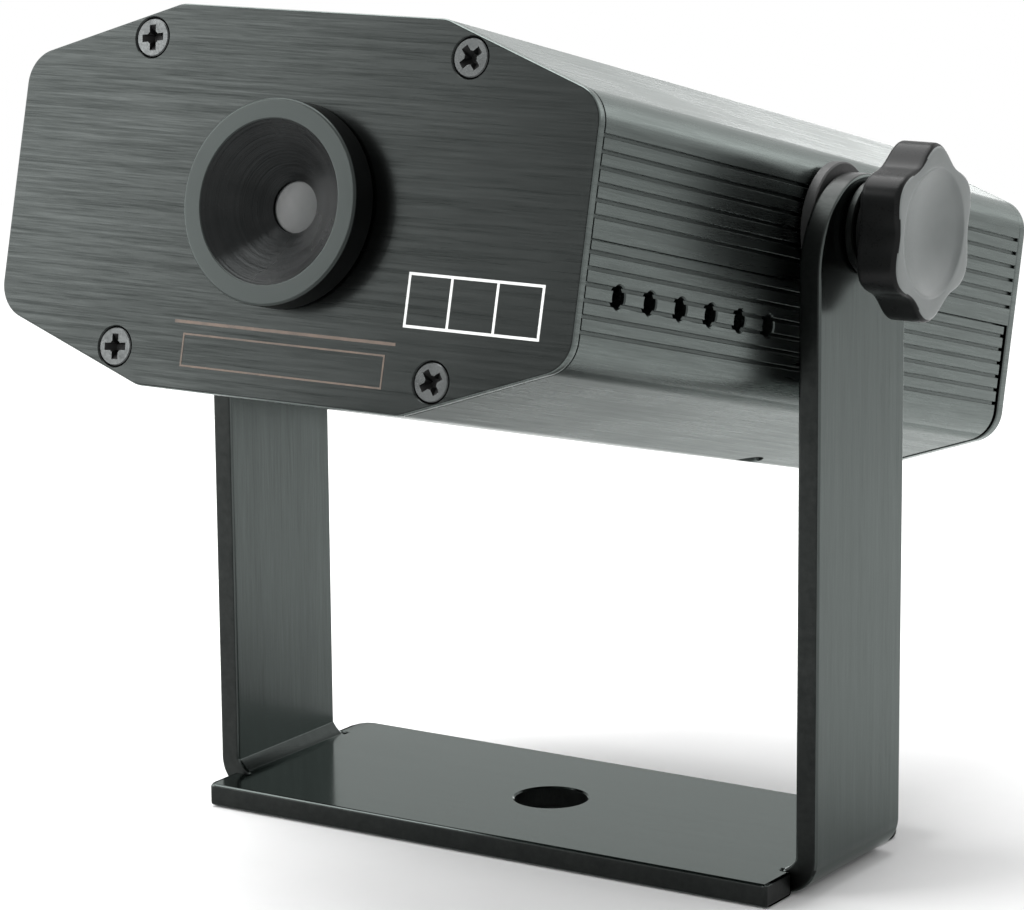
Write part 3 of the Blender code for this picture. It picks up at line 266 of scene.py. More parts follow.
def drawnOutTree():
    # a flat section becomes a bar of the given length along Y
    tree, given, result = newTree("drawnOut", length="Float", material="Material")
    section = given["Geometry"]
    away = addNode(tree, "ShaderNodeCombineXYZ", {"Y": given["length"]})[0]
    grown = addNode(tree, "GeometryNodeExtrudeMesh", {"Mesh": section, "Offset": away, "Individual": False})
    back = addNode(tree, "GeometryNodeFlipFaces", {"Mesh": section})[0]
    both = addNode(tree, "GeometryNodeJoinGeometry", {"Geometry": grown["Mesh"]})[0]
    tree.links.new(back, both.node.inputs["Geometry"])
    whole = addNode(tree, "GeometryNodeMergeByDistance", {"Geometry": both, "Distance": weldGap})[0]
    return endTree(tree, whole, given, result)


def rowOfCutsTree():
    # one cutter repeated along a line and taken out of the piece
    tree, given, result = newTree("rowOfCuts", cutter="Object", start="Vector", step="Vector", count="Int",
                                  material="Material")
    line = addNode(tree, "GeometryNodeMeshLine", {"Count": given["count"], "Start Location": given["start"],
                                                  "Offset": given["step"]}, mode="OFFSET")[0]
    tools = copiesOn(tree, line, given["cutter"])
    left = addNode(tree, "GeometryNodeMeshBoolean", {"Mesh 1": given["Geometry"], "Mesh 2": tools},
                   operation="DIFFERENCE", solver="EXACT")["Mesh"]
    return endTree(tree, left, given, result)


def screwSetTree():
    # one screw on every point, turned as its driver left it
    tree, given, result = newTree("screwSet", screw="Object", material="Material")
    aim = addNode(tree, "GeometryNodeInputNamedAttribute", {"Name": "aim"},
                  data_type="FLOAT_VECTOR")["Attribute"]
    turn = addNode(tree, "FunctionNodeEulerToRotation", {"Euler": aim})[0]
    return endTree(tree, copiesOn(tree, given["Geometry"], given["screw"], Rotation=turn), given, result)


def lobedTree():
    # waves round Z, from none at the inner radius to the full depth at the outer one
    tree, given, result = newTree("lobed", lobes="Int", depth="Float", inner="Float", outer="Float",
                                  turn="Float", low="Float", material="Material")
    place = addNode(tree, "ShaderNodeSeparateXYZ", {0: addNode(tree, "GeometryNodeInputPosition", {})[0]})
    flat = addNode(tree, "ShaderNodeCombineXYZ", {"X": place["X"], "Y": place["Y"]})[0]
    angle = maths(tree, "SUBTRACT", maths(tree, "ARCTAN2", place["Y"], place["X"]), given["turn"])
    wave = maths(tree, "COSINE", maths(tree, "MULTIPLY", angle, given["lobes"]))
    share = mapped(tree, vectorMaths(tree, "LENGTH", flat), given["inner"], given["outer"], 0.0, 1.0)
    push = maths(tree, "MULTIPLY", mapped(tree, wave, -1.0, 1.0, 1.0, 0.0), share)
    inward = maths(tree, "MULTIPLY", maths(tree, "MULTIPLY", push, given["depth"]), -1.0)
    shift = addNode(tree, "ShaderNodeVectorMath", {0: vectorMaths(tree, "NORMALIZE", flat), "Scale": inward},
                    operation="SCALE")[0]
    above = addNode(tree, "FunctionNodeCompare", {"A": place["Z"], "B": given["low"]},
                    operation="GREATER_EQUAL")[0]
    moved = addNode(tree, "GeometryNodeSetPosition", {"Geometry": given["Geometry"], "Selection": above,
                                                      "Offset": shift})[0]
    return endTree(tree, moved, given, result)


def softShadingTree():
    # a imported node's loose triangles joined and shaded smooth up to the given angle
    tree, given, result = newTree("softShading", angle="Float")
    part = addNode(tree, "GeometryNodeMergeByDistance", {"Geometry": given["Geometry"], "Distance": weldGap})[0]
    edge = addNode(tree, "GeometryNodeInputMeshEdgeAngle", {})["Unsigned Angle"]
    smooth = addNode(tree, "FunctionNodeCompare", {"A": edge, "B": given["angle"]}, operation="LESS_THAN")[0]
    for domain, chosen in (("EDGE", smooth), ("FACE", True)):
        part = addNode(tree, "GeometryNodeSetShadeSmooth", {"Geometry": part, "Shade Smooth": chosen},
                       domain=domain)[0]
    tree.links.new(part, result)
    return tree


drawnOut = drawnOutTree()
rowOfCuts = rowOfCutsTree()
screwSet = screwSetTree()
lobed = lobedTree()
softShading = softShadingTree()


# Finishes

def newFinish(name):
    material = bpy.data.materials.new(name)
    material.use_nodes = True
    tree = material.node_tree
    return material, tree, tree.nodes["Principled BSDF"]


def objectCoords(tree):
    return addNode(tree, "ShaderNodeTexCoord", {})["Object"]


def grainNoise(tree, place, scale, detail, roughness):
    # scale: one number, or three for a noise drawn out along an axis
    stretch = scale if isinstance(scale, tuple) else (scale,) * 3
    scaled = addNode(tree, "ShaderNodeMapping", {"Vector": place, "Scale": stretch})[0]
    return addNode(tree, "ShaderNodeTexNoise", {"Vector": scaled, "Scale": 1.0, "Detail": detail,
                                                "Roughness": roughness})["Fac"]


def blended(tree, share, dark, light):
    return addNode(tree, "ShaderNodeMix", {"Factor": share, 6: (*dark, 1), 7: (*light, 1)}, data_type="RGBA")[2]


def brushed(tree, look):
    # long fine scratches, broader streaks and a few soft smudges
    # like the next two, it gives the share of the light colour, the roughness and the height for the bump
    place = objectCoords(tree)
    if look["lean"]:
        place = addNode(tree, "ShaderNodeMapping", {"Vector": place, "Rotation": (look["lean"], 0, 0)})[0]
    fine = grainNoise(tree, place, look["fine"], 3.0, 0.7)
    broad = grainNoise(tree, place, look["broad"], 2.0, 0.5)
    smudge = grainNoise(tree, place, look["smudge"], 3.0, 0.5)
    both = maths(tree, "ADD", fine, maths(tree, "MULTIPLY", broad, look["streakShare"]))
    middle = 0.5 + 0.5 * look["streakShare"]
    start, end = middle - look["spread"], middle + look["spread"]
    low, high = look["rough"]
    streaked = mapped(tree, both, start, end, high, low)
    smudged = mapped(tree, smudge, *look["smudgeRange"], -look["smudgeRough"], look["smudgeRough"])
    return mapped(tree, both, start, end, 0.0, 1.0), maths(tree, "ADD", streaked, smudged), fine


def turned(tree, look):
    # lathe marks: fine rings round the housing's long middle line
    place = objectCoords(tree)
    middle = housingPlace.to_3x3().inverted() @ housingPlace.translation
    straight = addNode(tree, "ShaderNodeMapping", {"Vector": place, "Rotation": (lean, 0, 0),
                                                   "Location": tuple(-middle)})[0]
    radius = vectorMaths(tree, "LENGTH", vectorMaths(tree, "MULTIPLY", straight, (1, 0, 1)))
    rings = addNode(tree, "ShaderNodeTexNoise", {"W": radius, "Scale": look["rings"], "Detail": 2.0},
                    noise_dimensions="1D")["Fac"]
    drift = grainNoise(tree, place, look["drift"], 3.0, 0.55)
    share = mapped(tree, maths(tree, "ADD", rings, drift), *look["sumRange"], 0.0, 1.0)
    return share, mapped(tree, drift, *look["ringDrift"], *look["rough"]), rings


def moulded(tree, look):
    # plastic and rubber: fine texture from the mould, faint colour drift, rubbed spots
    place = objectCoords(tree)
    grit = grainNoise(tree, place, look["grit"], 2.0, 0.6)
    drift = grainNoise(tree, place, look["drift"], 3.0, 0.55)
    rubbed = mapped(tree, maths(tree, "ADD", grit, drift), *look["sumRange"], *look["rough"])
    return mapped(tree, drift, *look["colourDrift"], 0.0, 1.0), rubbed, grit


def makeFinish(name, pattern, look):
    material, tree, shader = newFinish(name)
    share, rough, height = pattern(tree, look)
    bump = addNode(tree, "ShaderNodeBump", {"Height": height, "Strength": look["bump"],
                                            "Distance": look["bumpDepth"]})
    tree.links.new(blended(tree, share, look["dark"], look["light"]), shader.inputs["Base Color"])
    tree.links.new(rough, shader.inputs["Roughness"])
    tree.links.new(bump[0], shader.inputs["Normal"])
    uniform = {"Metallic": look["metallic"], "Specular Tint": (*look["tint"], 1), **look["shader"]}
    for key, value in uniform.items():
        shader.inputs[key].default_value = value
    return material


commonLook = dict(
    lean=0.0, streakShare=0.6, smudgeRough=0.02, bump=0.2, bumpDepth=0.02 * mm,
    rings=9000, drift=120, tint=(1, 1, 1), shader={},
    # the parts of each noise's range that are used
    spread=0.3, smudgeRange=(0.35, 0.7), sumRange=(0.7, 1.3), ringDrift=(0.35, 0.65), colourDrift=(0.3, 0.7),
)
brushedLooks = dict(
    plate=dict(
        lean=lean, fine=(130, 40, 5200), broad=(24, 12, 1500), smudge=45, streakShare=0.7,
        dark=(0.0114, 0.0129, 0.0124), light=(0.0313, 0.0343, 0.0333),
        rough=(0.22, 0.29), smudgeRough=0.015, bump=0.25, bumpDepth=0.01 * mm,
    ),
    shell=dict(
        lean=lean, fine=(4200, 110, 4200), broad=(900, 14, 900), smudge=40, bumpDepth=0.01 * mm,
        dark=(0.069, 0.0795, 0.076), light=(0.117, 0.1335, 0.128), rough=(0.25, 0.33),
        tint=(0.965, 1.0, 0.985),
    ),
    # painted shade: the grooves' faces darker than the rest of the shell
    groove=dict(like="shell", dark=(0.039, 0.045, 0.043), light=(0.065, 0.075, 0.072)),
    lowSlope=dict(like="shell", tint=(0.655, 0.68, 0.67)),      # painted shade: reflections dimmed on the lower slope
    yoke=dict(
        fine=(4200, 4200, 110), broad=(800, 800, 12), smudge=38, streakShare=0.5,
        dark=(0.0478, 0.0543, 0.052), light=(0.0695, 0.0786, 0.0758), rough=(0.19, 0.27),
        bump=0.15, bumpDepth=0.01 * mm, tint=(0.955, 1.0, 0.985),
    ),
    # painted shade: the inner band of each bend darker than the rest of the yoke
    bend=dict(like="yoke", dark=(0.0163, 0.0185, 0.0177), light=(0.0237, 0.0268, 0.0258)),
    # the base plate smoother than the arms; its colour and reflection tint darker than theirs though it is the
    # same sheet: painted shade
    foot=dict(
        like="yoke", fine=(110, 4200, 4200), broad=(12, 800, 800), rough=(0.12, 0.17), bump=0.06,
        dark=(0.0392, 0.045, 0.043), light=(0.051, 0.0585, 0.056), tint=(0.825, 0.865, 0.85),
    ),
    # the sheet's cut edges, darker; the same finish paints shade over the arms' rounded tops and on the washers
    cutEdge=dict(
        like="yoke", fine=(900, 4200, 900), broad=(300, 700, 300), smudge=60,
        dark=(0.014, 0.0155, 0.015), light=(0.024, 0.026, 0.025), rough=(0.3, 0.38), tint=(1, 1, 1),
    ),
    aluminium=dict(
        fine=(120, 3800, 3800), broad=(15, 700, 700), smudge=50, smudgeRough=0.04,
        dark=(0.42, 0.43, 0.43), light=(0.62, 0.63, 0.63), rough=(0.25, 0.4),
    ),
    screw=dict(
        fine=3000, broad=500, smudge=300, smudgeRough=0.05,
        dark=(0.035, 0.0375, 0.0372), light=(0.07, 0.0735, 0.0735), rough=(0.22, 0.36),
    ),
    # painted shade: the screws' driver recesses nearly black
    recess=dict(
        like="screw", dark=(0.003, 0.0033, 0.0033), light=(0.008, 0.0085, 0.0085), rough=(0.5, 0.7),
        metallic=0.5,
    ),
    steel=dict(
        fine=2500, broad=400, smudge=120, smudgeRough=0.04,
        dark=(0.36, 0.37, 0.37), light=(0.5, 0.51, 0.51), rough=(0.22, 0.38),
    ),
    brass=dict(
        fine=(2500, 200, 2500), broad=(400, 30, 400), smudge=90, smudgeRough=0.05,
        dark=(0.55, 0.38, 0.14), light=(0.74, 0.56, 0.27), rough=(0.22, 0.38), bump=0.15,
    ),
)
turnedLooks = dict(
    hood=dict(
        dark=(0.0129, 0.0148, 0.0142), light=(0.0205, 0.0233, 0.0226), rough=(0.32, 0.44), bump=0.25,
        metallic=0.6, tint=(0.88, 1.0, 0.96),
    ),
    # painted shade: the hood's outer side darker than its rim
    hoodSide=dict(dark=(0.009, 0.0098, 0.0098), light=(0.0165, 0.018, 0.018), rough=(0.3, 0.4), metallic=0.8),
    cone=dict(
        rings=14000, dark=(0.0113, 0.0125, 0.0125), light=(0.0225, 0.0238, 0.0238),
        rough=(0.22, 0.3), bump=0.8, bumpDepth=0.06 * mm, metallic=0.9,
    ),
)
mouldedLooks = dict(
    knob=dict(
        grit=2600, drift=130, dark=(0.006, 0.0064, 0.0064), light=(0.01, 0.0105, 0.0105),
        rough=(0.26, 0.34), bump=0.05, shader={"Specular IOR Level": 0.1},
    ),
    # painted sheen: the black knob's face and dish a lighter grey
    knobFace=dict(
        grit=2600, drift=90, dark=(0.121, 0.134, 0.131), light=(0.165, 0.18, 0.177),
        rough=(0.3, 0.38),
    ),
    plastic=dict(
        grit=3000, drift=150, dark=(0.02, 0.021, 0.022), light=(0.033, 0.034, 0.035),
        rough=(0.4, 0.55), bump=0.3, bumpDepth=0.03 * mm,
    ),
    rubber=dict(
        grit=2200, drift=200, dark=(0.009, 0.0095, 0.0095), light=(0.016, 0.0165, 0.0165),
        rough=(0.5, 0.65), bump=0.4, bumpDepth=0.04 * mm,
    ),
    whitePlastic=dict(
        grit=2500, drift=110, dark=(0.66, 0.65, 0.61), light=(0.76, 0.75, 0.72),
        rough=(0.38, 0.5), bump=0.15,
    ),
    board=dict(
        grit=900, drift=160, dark=(0.02, 0.11, 0.05), light=(0.045, 0.19, 0.09),
        rough=(0.3, 0.45), bump=0.25, bumpDepth=0.04 * mm,
    ),
    lens=dict(
        grit=1500, drift=260, dark=(0.033, 0.0363, 0.0355), light=(0.05, 0.0545, 0.0535),
        rough=(0.4, 0.5), bump=0.05,
    ),
    glass=dict(
        grit=1500, drift=260, dark=(0.6, 0.66, 0.66), light=(0.76, 0.82, 0.82),
        rough=(0.04, 0.1), bump=0.03, shader={"Coat Weight": 0.4},
    ),
    print=dict(
        grit=2400, drift=500, dark=(0.62, 0.63, 0.62), light=(0.8, 0.81, 0.8),
        rough=(0.45, 0.6), bumpDepth=0.01 * mm,
    ),
    copperPrint=dict(
        grit=2400, drift=400, dark=(0.05, 0.037, 0.028), light=(0.1, 0.07, 0.052),
        rough=(0.4, 0.55), bumpDepth=0.01 * mm, metallic=0.4,
    ),
)

finishes = {}
families = ((brushed, 1.0, brushedLooks), (turned, 1.0, turnedLooks), (moulded, 0.0, mouldedLooks))
for pattern, metallic, looks in families:
    for name, look in looks.items():
        look = {**commonLook, "metallic": metallic, **looks.get(look.get("like"), {}), **look}
        finishes[name] = makeFinish(name + "Finish", pattern, look)
print("finishes ready")


# Outlines, in the housing's own x and z

def arcPoints(centre, radius, start, end, step=math.radians(5), count=None):
    count = count or max(2, math.ceil(abs(end - start) / step))
    angles = [start + (end - start) * i / count for i in range(count + 1)]
    return [(centre[0] + radius * math.cos(a), centre[1] + radius * math.sin(a)) for a in angles]


def bow(centre, radius, first, last, count):
    # a profile's round edge, in degrees from the radius direction towards the height direction
    return arcPoints(centre, radius, math.radians(first), math.radians(last), count=count)


def roundCorner(before, corner, after, radius, step=math.radians(5)):
    into = Vector(corner) - Vector(before)
    out = Vector(after) - Vector(corner)
    turn = -into.angle_signed(out)
    start = Vector(corner) - into.normalized() * radius * math.tan(abs(turn) / 2)
    side = 1 if turn > 0 else -1
    centre = start + Vector((-into.y, into.x)).normalized() * side * radius
    first = math.atan2(start.y - centre.y, start.x - centre.x)
    return arcPoints(centre, radius, first, first + turn, step)


def plateOutline():
    right = [(halfWidth, -housing["sideHalf"]), (halfWidth, housing["sideHalf"])]
    top = [(housing["topHalf"], halfHeight), (-housing["topHalf"], halfHeight)]
    corners = right + top + [(-x, -z) for x, z in right + top]
    radii = ([housing["sideRound"]] * 2 + [housing["topRound"]] * 2) * 2
    points = []
    for i, corner in enumerate(corners):
        points += roundCorner(corners[i - 1], corner, corners[(i + 1) % len(corners)], radii[i])
    return points


def innerCorners():
    # side foot, side corner and top corner of the inner skin
    side = Vector((halfWidth, housing["sideHalf"]))
    top = Vector((housing["topHalf"], halfHeight))
    along = (top - side).normalized()
    start = side + Vector((-along.y, along.x)) * wall
    innerX, innerZ = halfWidth - wall, halfHeight - wall
    atSide = start + along * ((innerX - start.x) / along.x)
    atTop = start + along * ((innerZ - start.y) / along.y)
    return (innerX, 0.0), tuple(atSide), tuple(atTop)


channel = measures(radius=3.1, bore=1.55, slot=1.4, railDepth=2.0, railThick=0.8, railDrop=0.1, trayThick=1.6)


def screwChannel(start, end):
    centre = Vector((housing["screwX"], housing["screwZ"]))
    along = (Vector(end) - Vector(start)).normalized()
    inward = Vector((-along.y, along.x))
    offset = (centre - Vector(start)).dot(inward)
    facing = math.atan2(inward.y, inward.x)
    radius, bore, half, step = channel["radius"], channel["bore"], channel["slot"] / 2, math.radians(15)
    swing = math.pi / 2 + math.asin(offset / radius)
    lipOutside, lipInside = math.asin(half / radius), math.asin(half / bore)
    points = arcPoints(centre, radius, facing + swing, facing + lipOutside, step)
    points += arcPoints(centre, bore, facing + lipInside, facing + math.tau - lipInside, step)
    return points + arcPoints(centre, radius, facing - lipOutside, facing - swing, step)


def trayRails(side, top):
    innerX = halfWidth - wall
    reach = innerX - channel["railDepth"]
    turn = math.atan2(side[0] - top[0], top[1] - side[1])
    end = side[1] - (housing["sideRound"] - wall) * math.tan(turn / 2) - channel["railDrop"]
    slotEnd = end - channel["railThick"]
    slotStart = slotEnd - channel["trayThick"] - 2 * seatGap
    first = slotStart - channel["railThick"]
    return [(innerX, first), (reach, first), (reach, slotStart), (innerX, slotStart),
            (innerX, slotEnd), (reach, slotEnd), (reach, end), (innerX, end)]


def halfSection(rim, step, stepLevel, withRails):
    side, top = (halfWidth, housing["sideHalf"]), (housing["topHalf"], halfHeight)
    outer = [(halfWidth, rim)]
    outer += roundCorner((halfWidth, 0), side, top, housing["sideRound"])
    outer += roundCorner(side, top, (0, top[1]), housing["topRound"])
    foot, innerSide, innerTop = innerCorners()
    inner = [(step, rim), (step, stepLevel), (foot[0], stepLevel)]
    inner += trayRails(innerSide, innerTop) if withRails else []
    inner += roundCorner(foot, innerSide, innerTop, housing["sideRound"] - wall)
    inner += screwChannel(innerSide, innerTop) + [innerTop]
    return outer + [(-x, z) for x, z in reversed(outer)] + [(-x, z) for x, z in inner] + inner[::-1]


# Housing shells

shellCuts = measures(
    grooveFirst=2.25, groovePitch=2.05, grooveHalf=0.24, grooveDepth=0.5, grooveLip=0.08,
    grooveUnder=0.05, grooveSkin=0.03,      # margins for finding the grooves' faces
    ventFirst=9.9, ventPitch=8.1, ventRadius=1.6, ventZ=-7.35, ventLip=0.18,
    studRadius=3.6, plateGap=0.06, underRadius=2.8, under=(20.9, 30.3),
) | {"grooveCount": 6, "ventCount": 6, "ventSegments": 32, "underSlope": -0.45}


def grooveCutter(side):
    # a bar along Y with a slightly flared mouth
    half, lip, deep = shellCuts["grooveHalf"], shellCuts["grooveLip"], halfWidth - shellCuts["grooveDepth"]
    lower = [(deep, -half), (halfWidth - lip, -half), (halfWidth, -half - lip),
             (halfWidth + 2 * lip, -half - 3 * lip)]
    outline = lower + [(x, -z) for x, z in reversed(lower)]
    reach = housing["halfLength"] + 2 * mm
    return addPrism("grooveCutter", [(side * x, z) for x, z in outline], -reach, reach)


def ventCutter():
    # both side walls in one rod, each mouth slightly flared
    lip, radius = shellCuts["ventLip"], shellCuts["ventRadius"]
    reach = halfWidth + 2 * lip
    half = [(radius, 0), (radius, halfWidth - lip), (radius + lip, halfWidth), (radius + 3 * lip, reach),
            (0, reach)]
    profile = [(r, -h) for r, h in reversed(half)][:-1] + half
    tool = addTurned("ventCutter", profile, shellCuts["ventSegments"])
    tool.data.transform(Matrix.Rotation(math.pi / 2, 4, "Y"))
    return tool


def cutRow(thing, tool, start, step, count):
    runTree(thing, rowOfCuts, cutter=tool, start=start, step=step, count=count, material=finishes["shell"])
    bpy.data.objects.remove(tool)


def makeShell(name, section, sign, end):
    start = frontInner + shellCuts["plateGap"]
    bm = bmesh.new()
    face = bm.faces.new([bm.verts.new((x, start, sign * z)) for x, z in section])
    bm.normal_update()
    if face.normal.y < 0:
        bmesh.ops.reverse_faces(bm, faces=[face])
    mesh = bpy.data.meshes.new(name)
    bm.to_mesh(mesh)
    bm.free()
    thing = addObject(name, mesh)
    runTree(thing, drawnOut, length=end - start, material=finishes["shell"])
    for side in (-1, 1):
        cutRow(thing, grooveCutter(side), (0, 0, sign * shellCuts["grooveFirst"]),
               (0, 0, sign * shellCuts["groovePitch"]), shellCuts["grooveCount"])
    return thing


# the faces inside the grooves, which take the painted shade
def grooveFaces(thing):
    high = shellCuts["grooveFirst"] + (shellCuts["grooveCount"] - 0.5) * shellCuts["groovePitch"]
    low = halfWidth - shellCuts["grooveDepth"] - shellCuts["grooveUnder"]
    skin = halfWidth - shellCuts["grooveSkin"]
    return facesWhere(thing, lambda face: low < abs(face.center.x) < skin and abs(face.center.z) < high)


def makeUpperShell():
    rim = housing["split"] + seatGap / 2
    section = halfSection(rim, halfWidth - wall + housing["tongue"], rim - housing["tongue"], False)
    thing = makeShell("upperShell", section, 1, backInner - shellCuts["plateGap"])
    reach = halfWidth + wall
    drill(thing, (0, housing["pivotRise"]), shellCuts["studRadius"], -reach, reach, "X")
    settle(thing, housingPlace, "shell groove", "housing", "dark_anodised", "upper_shell",
           parts=[grooveFaces(thing)])


def makeLowerShell():
    rim = -housing["split"] + seatGap / 2
    level = -housing["split"] - seatGap / 2 + housing["tongue"] + seatGap
    section = halfSection(rim, halfWidth - wall + housing["rebate"], level, True)
    thing = makeShell("lowerShell", section, -1, backInner - seatGap - housing["setback"])
    cutRow(thing, ventCutter(), (0, frontFace + shellCuts["ventFirst"], shellCuts["ventZ"]),
           (0, shellCuts["ventPitch"], 0), shellCuts["ventCount"])
    drill(thing, shellCuts["under"], shellCuts["underRadius"], -halfHeight - wall, -halfHeight + wall + seatGap,
          "Z")
    # the lower slope's faces, which take the painted shade
    under = facesWhere(thing, lambda face: face.normal.z < shellCuts["underSlope"]
                       and face.center.z < -housing["sideHalf"])
    settle(thing, housingPlace, "shell lowSlope groove", "housing", "dark_anodised", "lower_shell",
           parts=[under, grooveFaces(thing)])


makeUpperShell()
makeLowerShell()
print("shells ready")


# End plates and their screws

plates = measures(
    edgeRound=0.3, hoodHole=7.9, screwHole=1.55, screwHead=2.9, fanX=-20.0, fanHole=1.4, fanReach=12.0,
    grilleCentre=3.9, grilleSlot=2.2, grilleBridge=1.4, spoke=2.2,
    jack=(13.0, -3.0, 4.7), speed=(13.0, 9.5, 3.3), microphone=(20.3, 4.8, 0.8),      # x, z, radius
    mode=(28.5, 10.5, 3.5, 1.6), power=(28.5, -2.5, 6.8, 4.6),      # x, z, half width, half height
    smallHole=2.0,
) | {"overshoot": 0.1, "grilleRings": 3, "grilleSpokes": 4}


def screwSpots():
    x, z = housing["screwX"], housing["screwZ"]
    return [(x, z), (-x, z), (-x, -z), (x, -z)]


def fanSpots():
    reach = plates["fanReach"]
    return [(plates["fanX"] + x, z) for x in (-reach, reach) for z in (-reach, reach)]


def countersinkInto(bm, outer, inner):
    # a cone that widens towards the plate's outer face
    hole, head = plates["screwHole"], plates["screwHead"]
    over, growth = (inner - outer) * plates["overshoot"], (head - hole) * plates["overshoot"]
    (start, radius), (end, endRadius) = sorted([(outer - over, head + growth), (inner + over, hole - growth)])
    for spot in screwSpots():
        rodInto(bm, spot, radius, start, end, "Y", 48, endRadius)


def makePlate(name, start, end):
    thing = addPrism(name, plateOutline(), start, end)
    softenEdges(thing, plates["edgeRound"])
    for look in ("plate", "shell"):
        thing.data.materials.append(finishes[look])
    for index in facesWhere(thing, lambda face: abs(face.normal.y) < 0.8):
        thing.data.polygons[index].material_index = 1
    return thing


def settlePlate(thing, node):
    edges = facesWhere(thing, lambda face: face.material_index == 1)      # as marked before the holes were cut
    settle(thing, housingPlace, "plate shell", "housing", "dark_anodised", node, parts=[edges])


def makeFrontPlate():
    thing = makePlate("frontPlate", frontFace, frontInner)
    bm = bmesh.new()
    countersinkInto(bm, frontFace, frontInner)
    rodInto(bm, (0, 0), plates["hoodHole"], frontFace - mm, frontInner + mm, "Y", 96)
    cut(thing, bm)
    settlePlate(thing, "front_plate")


def grilleInto(bm, low, high):
    # ring slots between four spokes
    centre, half = (plates["fanX"], 0), plates["spoke"] / 2
    for ring in range(plates["grilleRings"]):
        inner = plates["grilleCentre"] + ring * (plates["grilleSlot"] + plates["grilleBridge"])
        outer = inner + plates["grilleSlot"]
        trimIn, trimOut = math.asin(half / inner), math.asin(half / outer)
        for i in range(plates["grilleSpokes"]):
            first, last = (math.tau * (i + side) / plates["grilleSpokes"] for side in (0.5, 1.5))
            loop = arcPoints(centre, outer, first + trimOut, last - trimOut)
            loop += arcPoints(centre, inner, last - trimIn, first + trimIn)
            prismInto(bm, loop, low, high)


def makeBackPlate():
    thing = makePlate("backPlate", backInner, backFace)
    low, high = backInner - mm, backFace + mm
    bm = bmesh.new()
    countersinkInto(bm, backFace, backInner)
    grilleInto(bm, low, high)
    fanHoles = [(x, z, plates["fanHole"]) for x, z in fanSpots()]
    for x, z, radius in fanHoles + [plates["jack"], plates["speed"], plates["microphone"]]:
        rodInto(bm, (x, z), radius, low, high, "Y", 24 if radius < plates["smallHole"] else 48)
    for x, z, halfX, halfZ in (plates["mode"], plates["power"]):
        prismInto(bm, rectangle(x - halfX, z - halfZ, x + halfX, z + halfZ), low, high)
    cut(thing, bm)
    settlePlate(thing, "back_plate")


plateScrew = measures(
    head=2.6, edge=0.12, topEdge=0.15, shank=1.25, length=10.0, sink=0.05,
    crossReach=1.7, crossHalf=0.5, crossDepth=1.3, crossCore=0.95,
) | {"frontTurns": (40, 8, 5, 35), "backTurns": (22, 61, 75, 12)}      # degrees, as the driver left them
fanScrew = measures(
    head=2.2, height=1.2, shank=1.1, length=8.0, crossReach=1.15, crossHalf=0.3, crossDepth=0.85, crossCore=0.6,
) | {"shoulder": 0.35, "turns": (15, 52, 33, 70)}
recess = measures(above=0.35, coreDrop=0.05, skin=0.01) | {
    "reach": (0.35, 1.2), "half": (0.75, 1.08), "core": (0.4, 1.15),      # shares at the bottom and the top
}


def screwShape(name, profile, screw, top):
    # the driver's recess is two crossed wedges and a cone; its faces are marked for painted shade
    thing = addTurned(name, profile, 48)
    skin = BVHTree.FromPolygons([corner.co.copy() for corner in thing.data.vertices],
                                [tuple(face.vertices) for face in thing.data.polygons])
    floor = top - screw["crossDepth"]

    def wedge(x, y, z):
        end = int(z > 0)
        return (x * 2 * screw["crossReach"] * recess["reach"][end],
                y * 2 * screw["crossHalf"] * recess["half"][end], top + recess["above"] if end else floor)

    for turn in (0, math.pi / 2):
        bm = bmesh.new()
        bmesh.ops.rotate(bm, verts=blockInto(bm, wedge), cent=(0, 0, 0), matrix=Matrix.Rotation(turn, 3, "Z"))
        cut(thing, bm)
    tip, mouth = (share * screw["crossCore"] for share in recess["core"])
    drill(thing, (0, 0), tip, floor - recess["coreDrop"], top + recess["above"], "Z", 16, mouth)
    marks = thing.data.attributes.new("recess", "BOOLEAN", "FACE")
    for face in thing.data.polygons:
        marks.data[face.index].value = skin.find_nearest(face.center)[3] > recess["skin"]
    return thing


def placeScrews(kind, shape, spots, y, turns, facing):
    name = kind + "Screws"
    mesh = bpy.data.meshes.new(name)
    mesh.from_pydata([(x, y, z) for x, z in spots], [], [])
    aims = mesh.attributes.new("aim", "FLOAT_VECTOR", "POINT")
    for i, turn in enumerate(turns):
        aims.data[i].vector = (facing @ Matrix.Rotation(math.radians(turn), 4, "Z")).to_euler()
    thing = addObject(name, mesh)
    runTree(thing, screwSet, screw=shape, material=finishes["screw"])
    marks = thing.data.attributes["recess"].data
    # the recess faces, which take the painted shade
    inside = facesWhere(thing, lambda face: marks[face.index].value)
    settle(thing, housingPlace, "screw recess", "housing", "steel", *[f"{kind}_screw_{i}" for i in range(1, 5)],
           parts=[inside])


def makePlateScrews():
    head, edge, shank, length = (plateScrew[key] for key in ("head", "edge", "shank", "length"))
    profile = [(0, 0), (head - plateScrew["topEdge"], 0), (head, -edge), (shank, shank - head - edge),
               (shank, -length), (0, -length)]
    shape = screwShape("plateScrewShape", profile, plateScrew, 0)
    sink = plateScrew["sink"]
    placeScrews("front", shape, screwSpots(), frontFace + sink, plateScrew["frontTurns"], toFront)
    placeScrews("back", shape, screwSpots(), backFace - sink, plateScrew["backTurns"], toBack)
    bpy.data.objects.remove(shape)


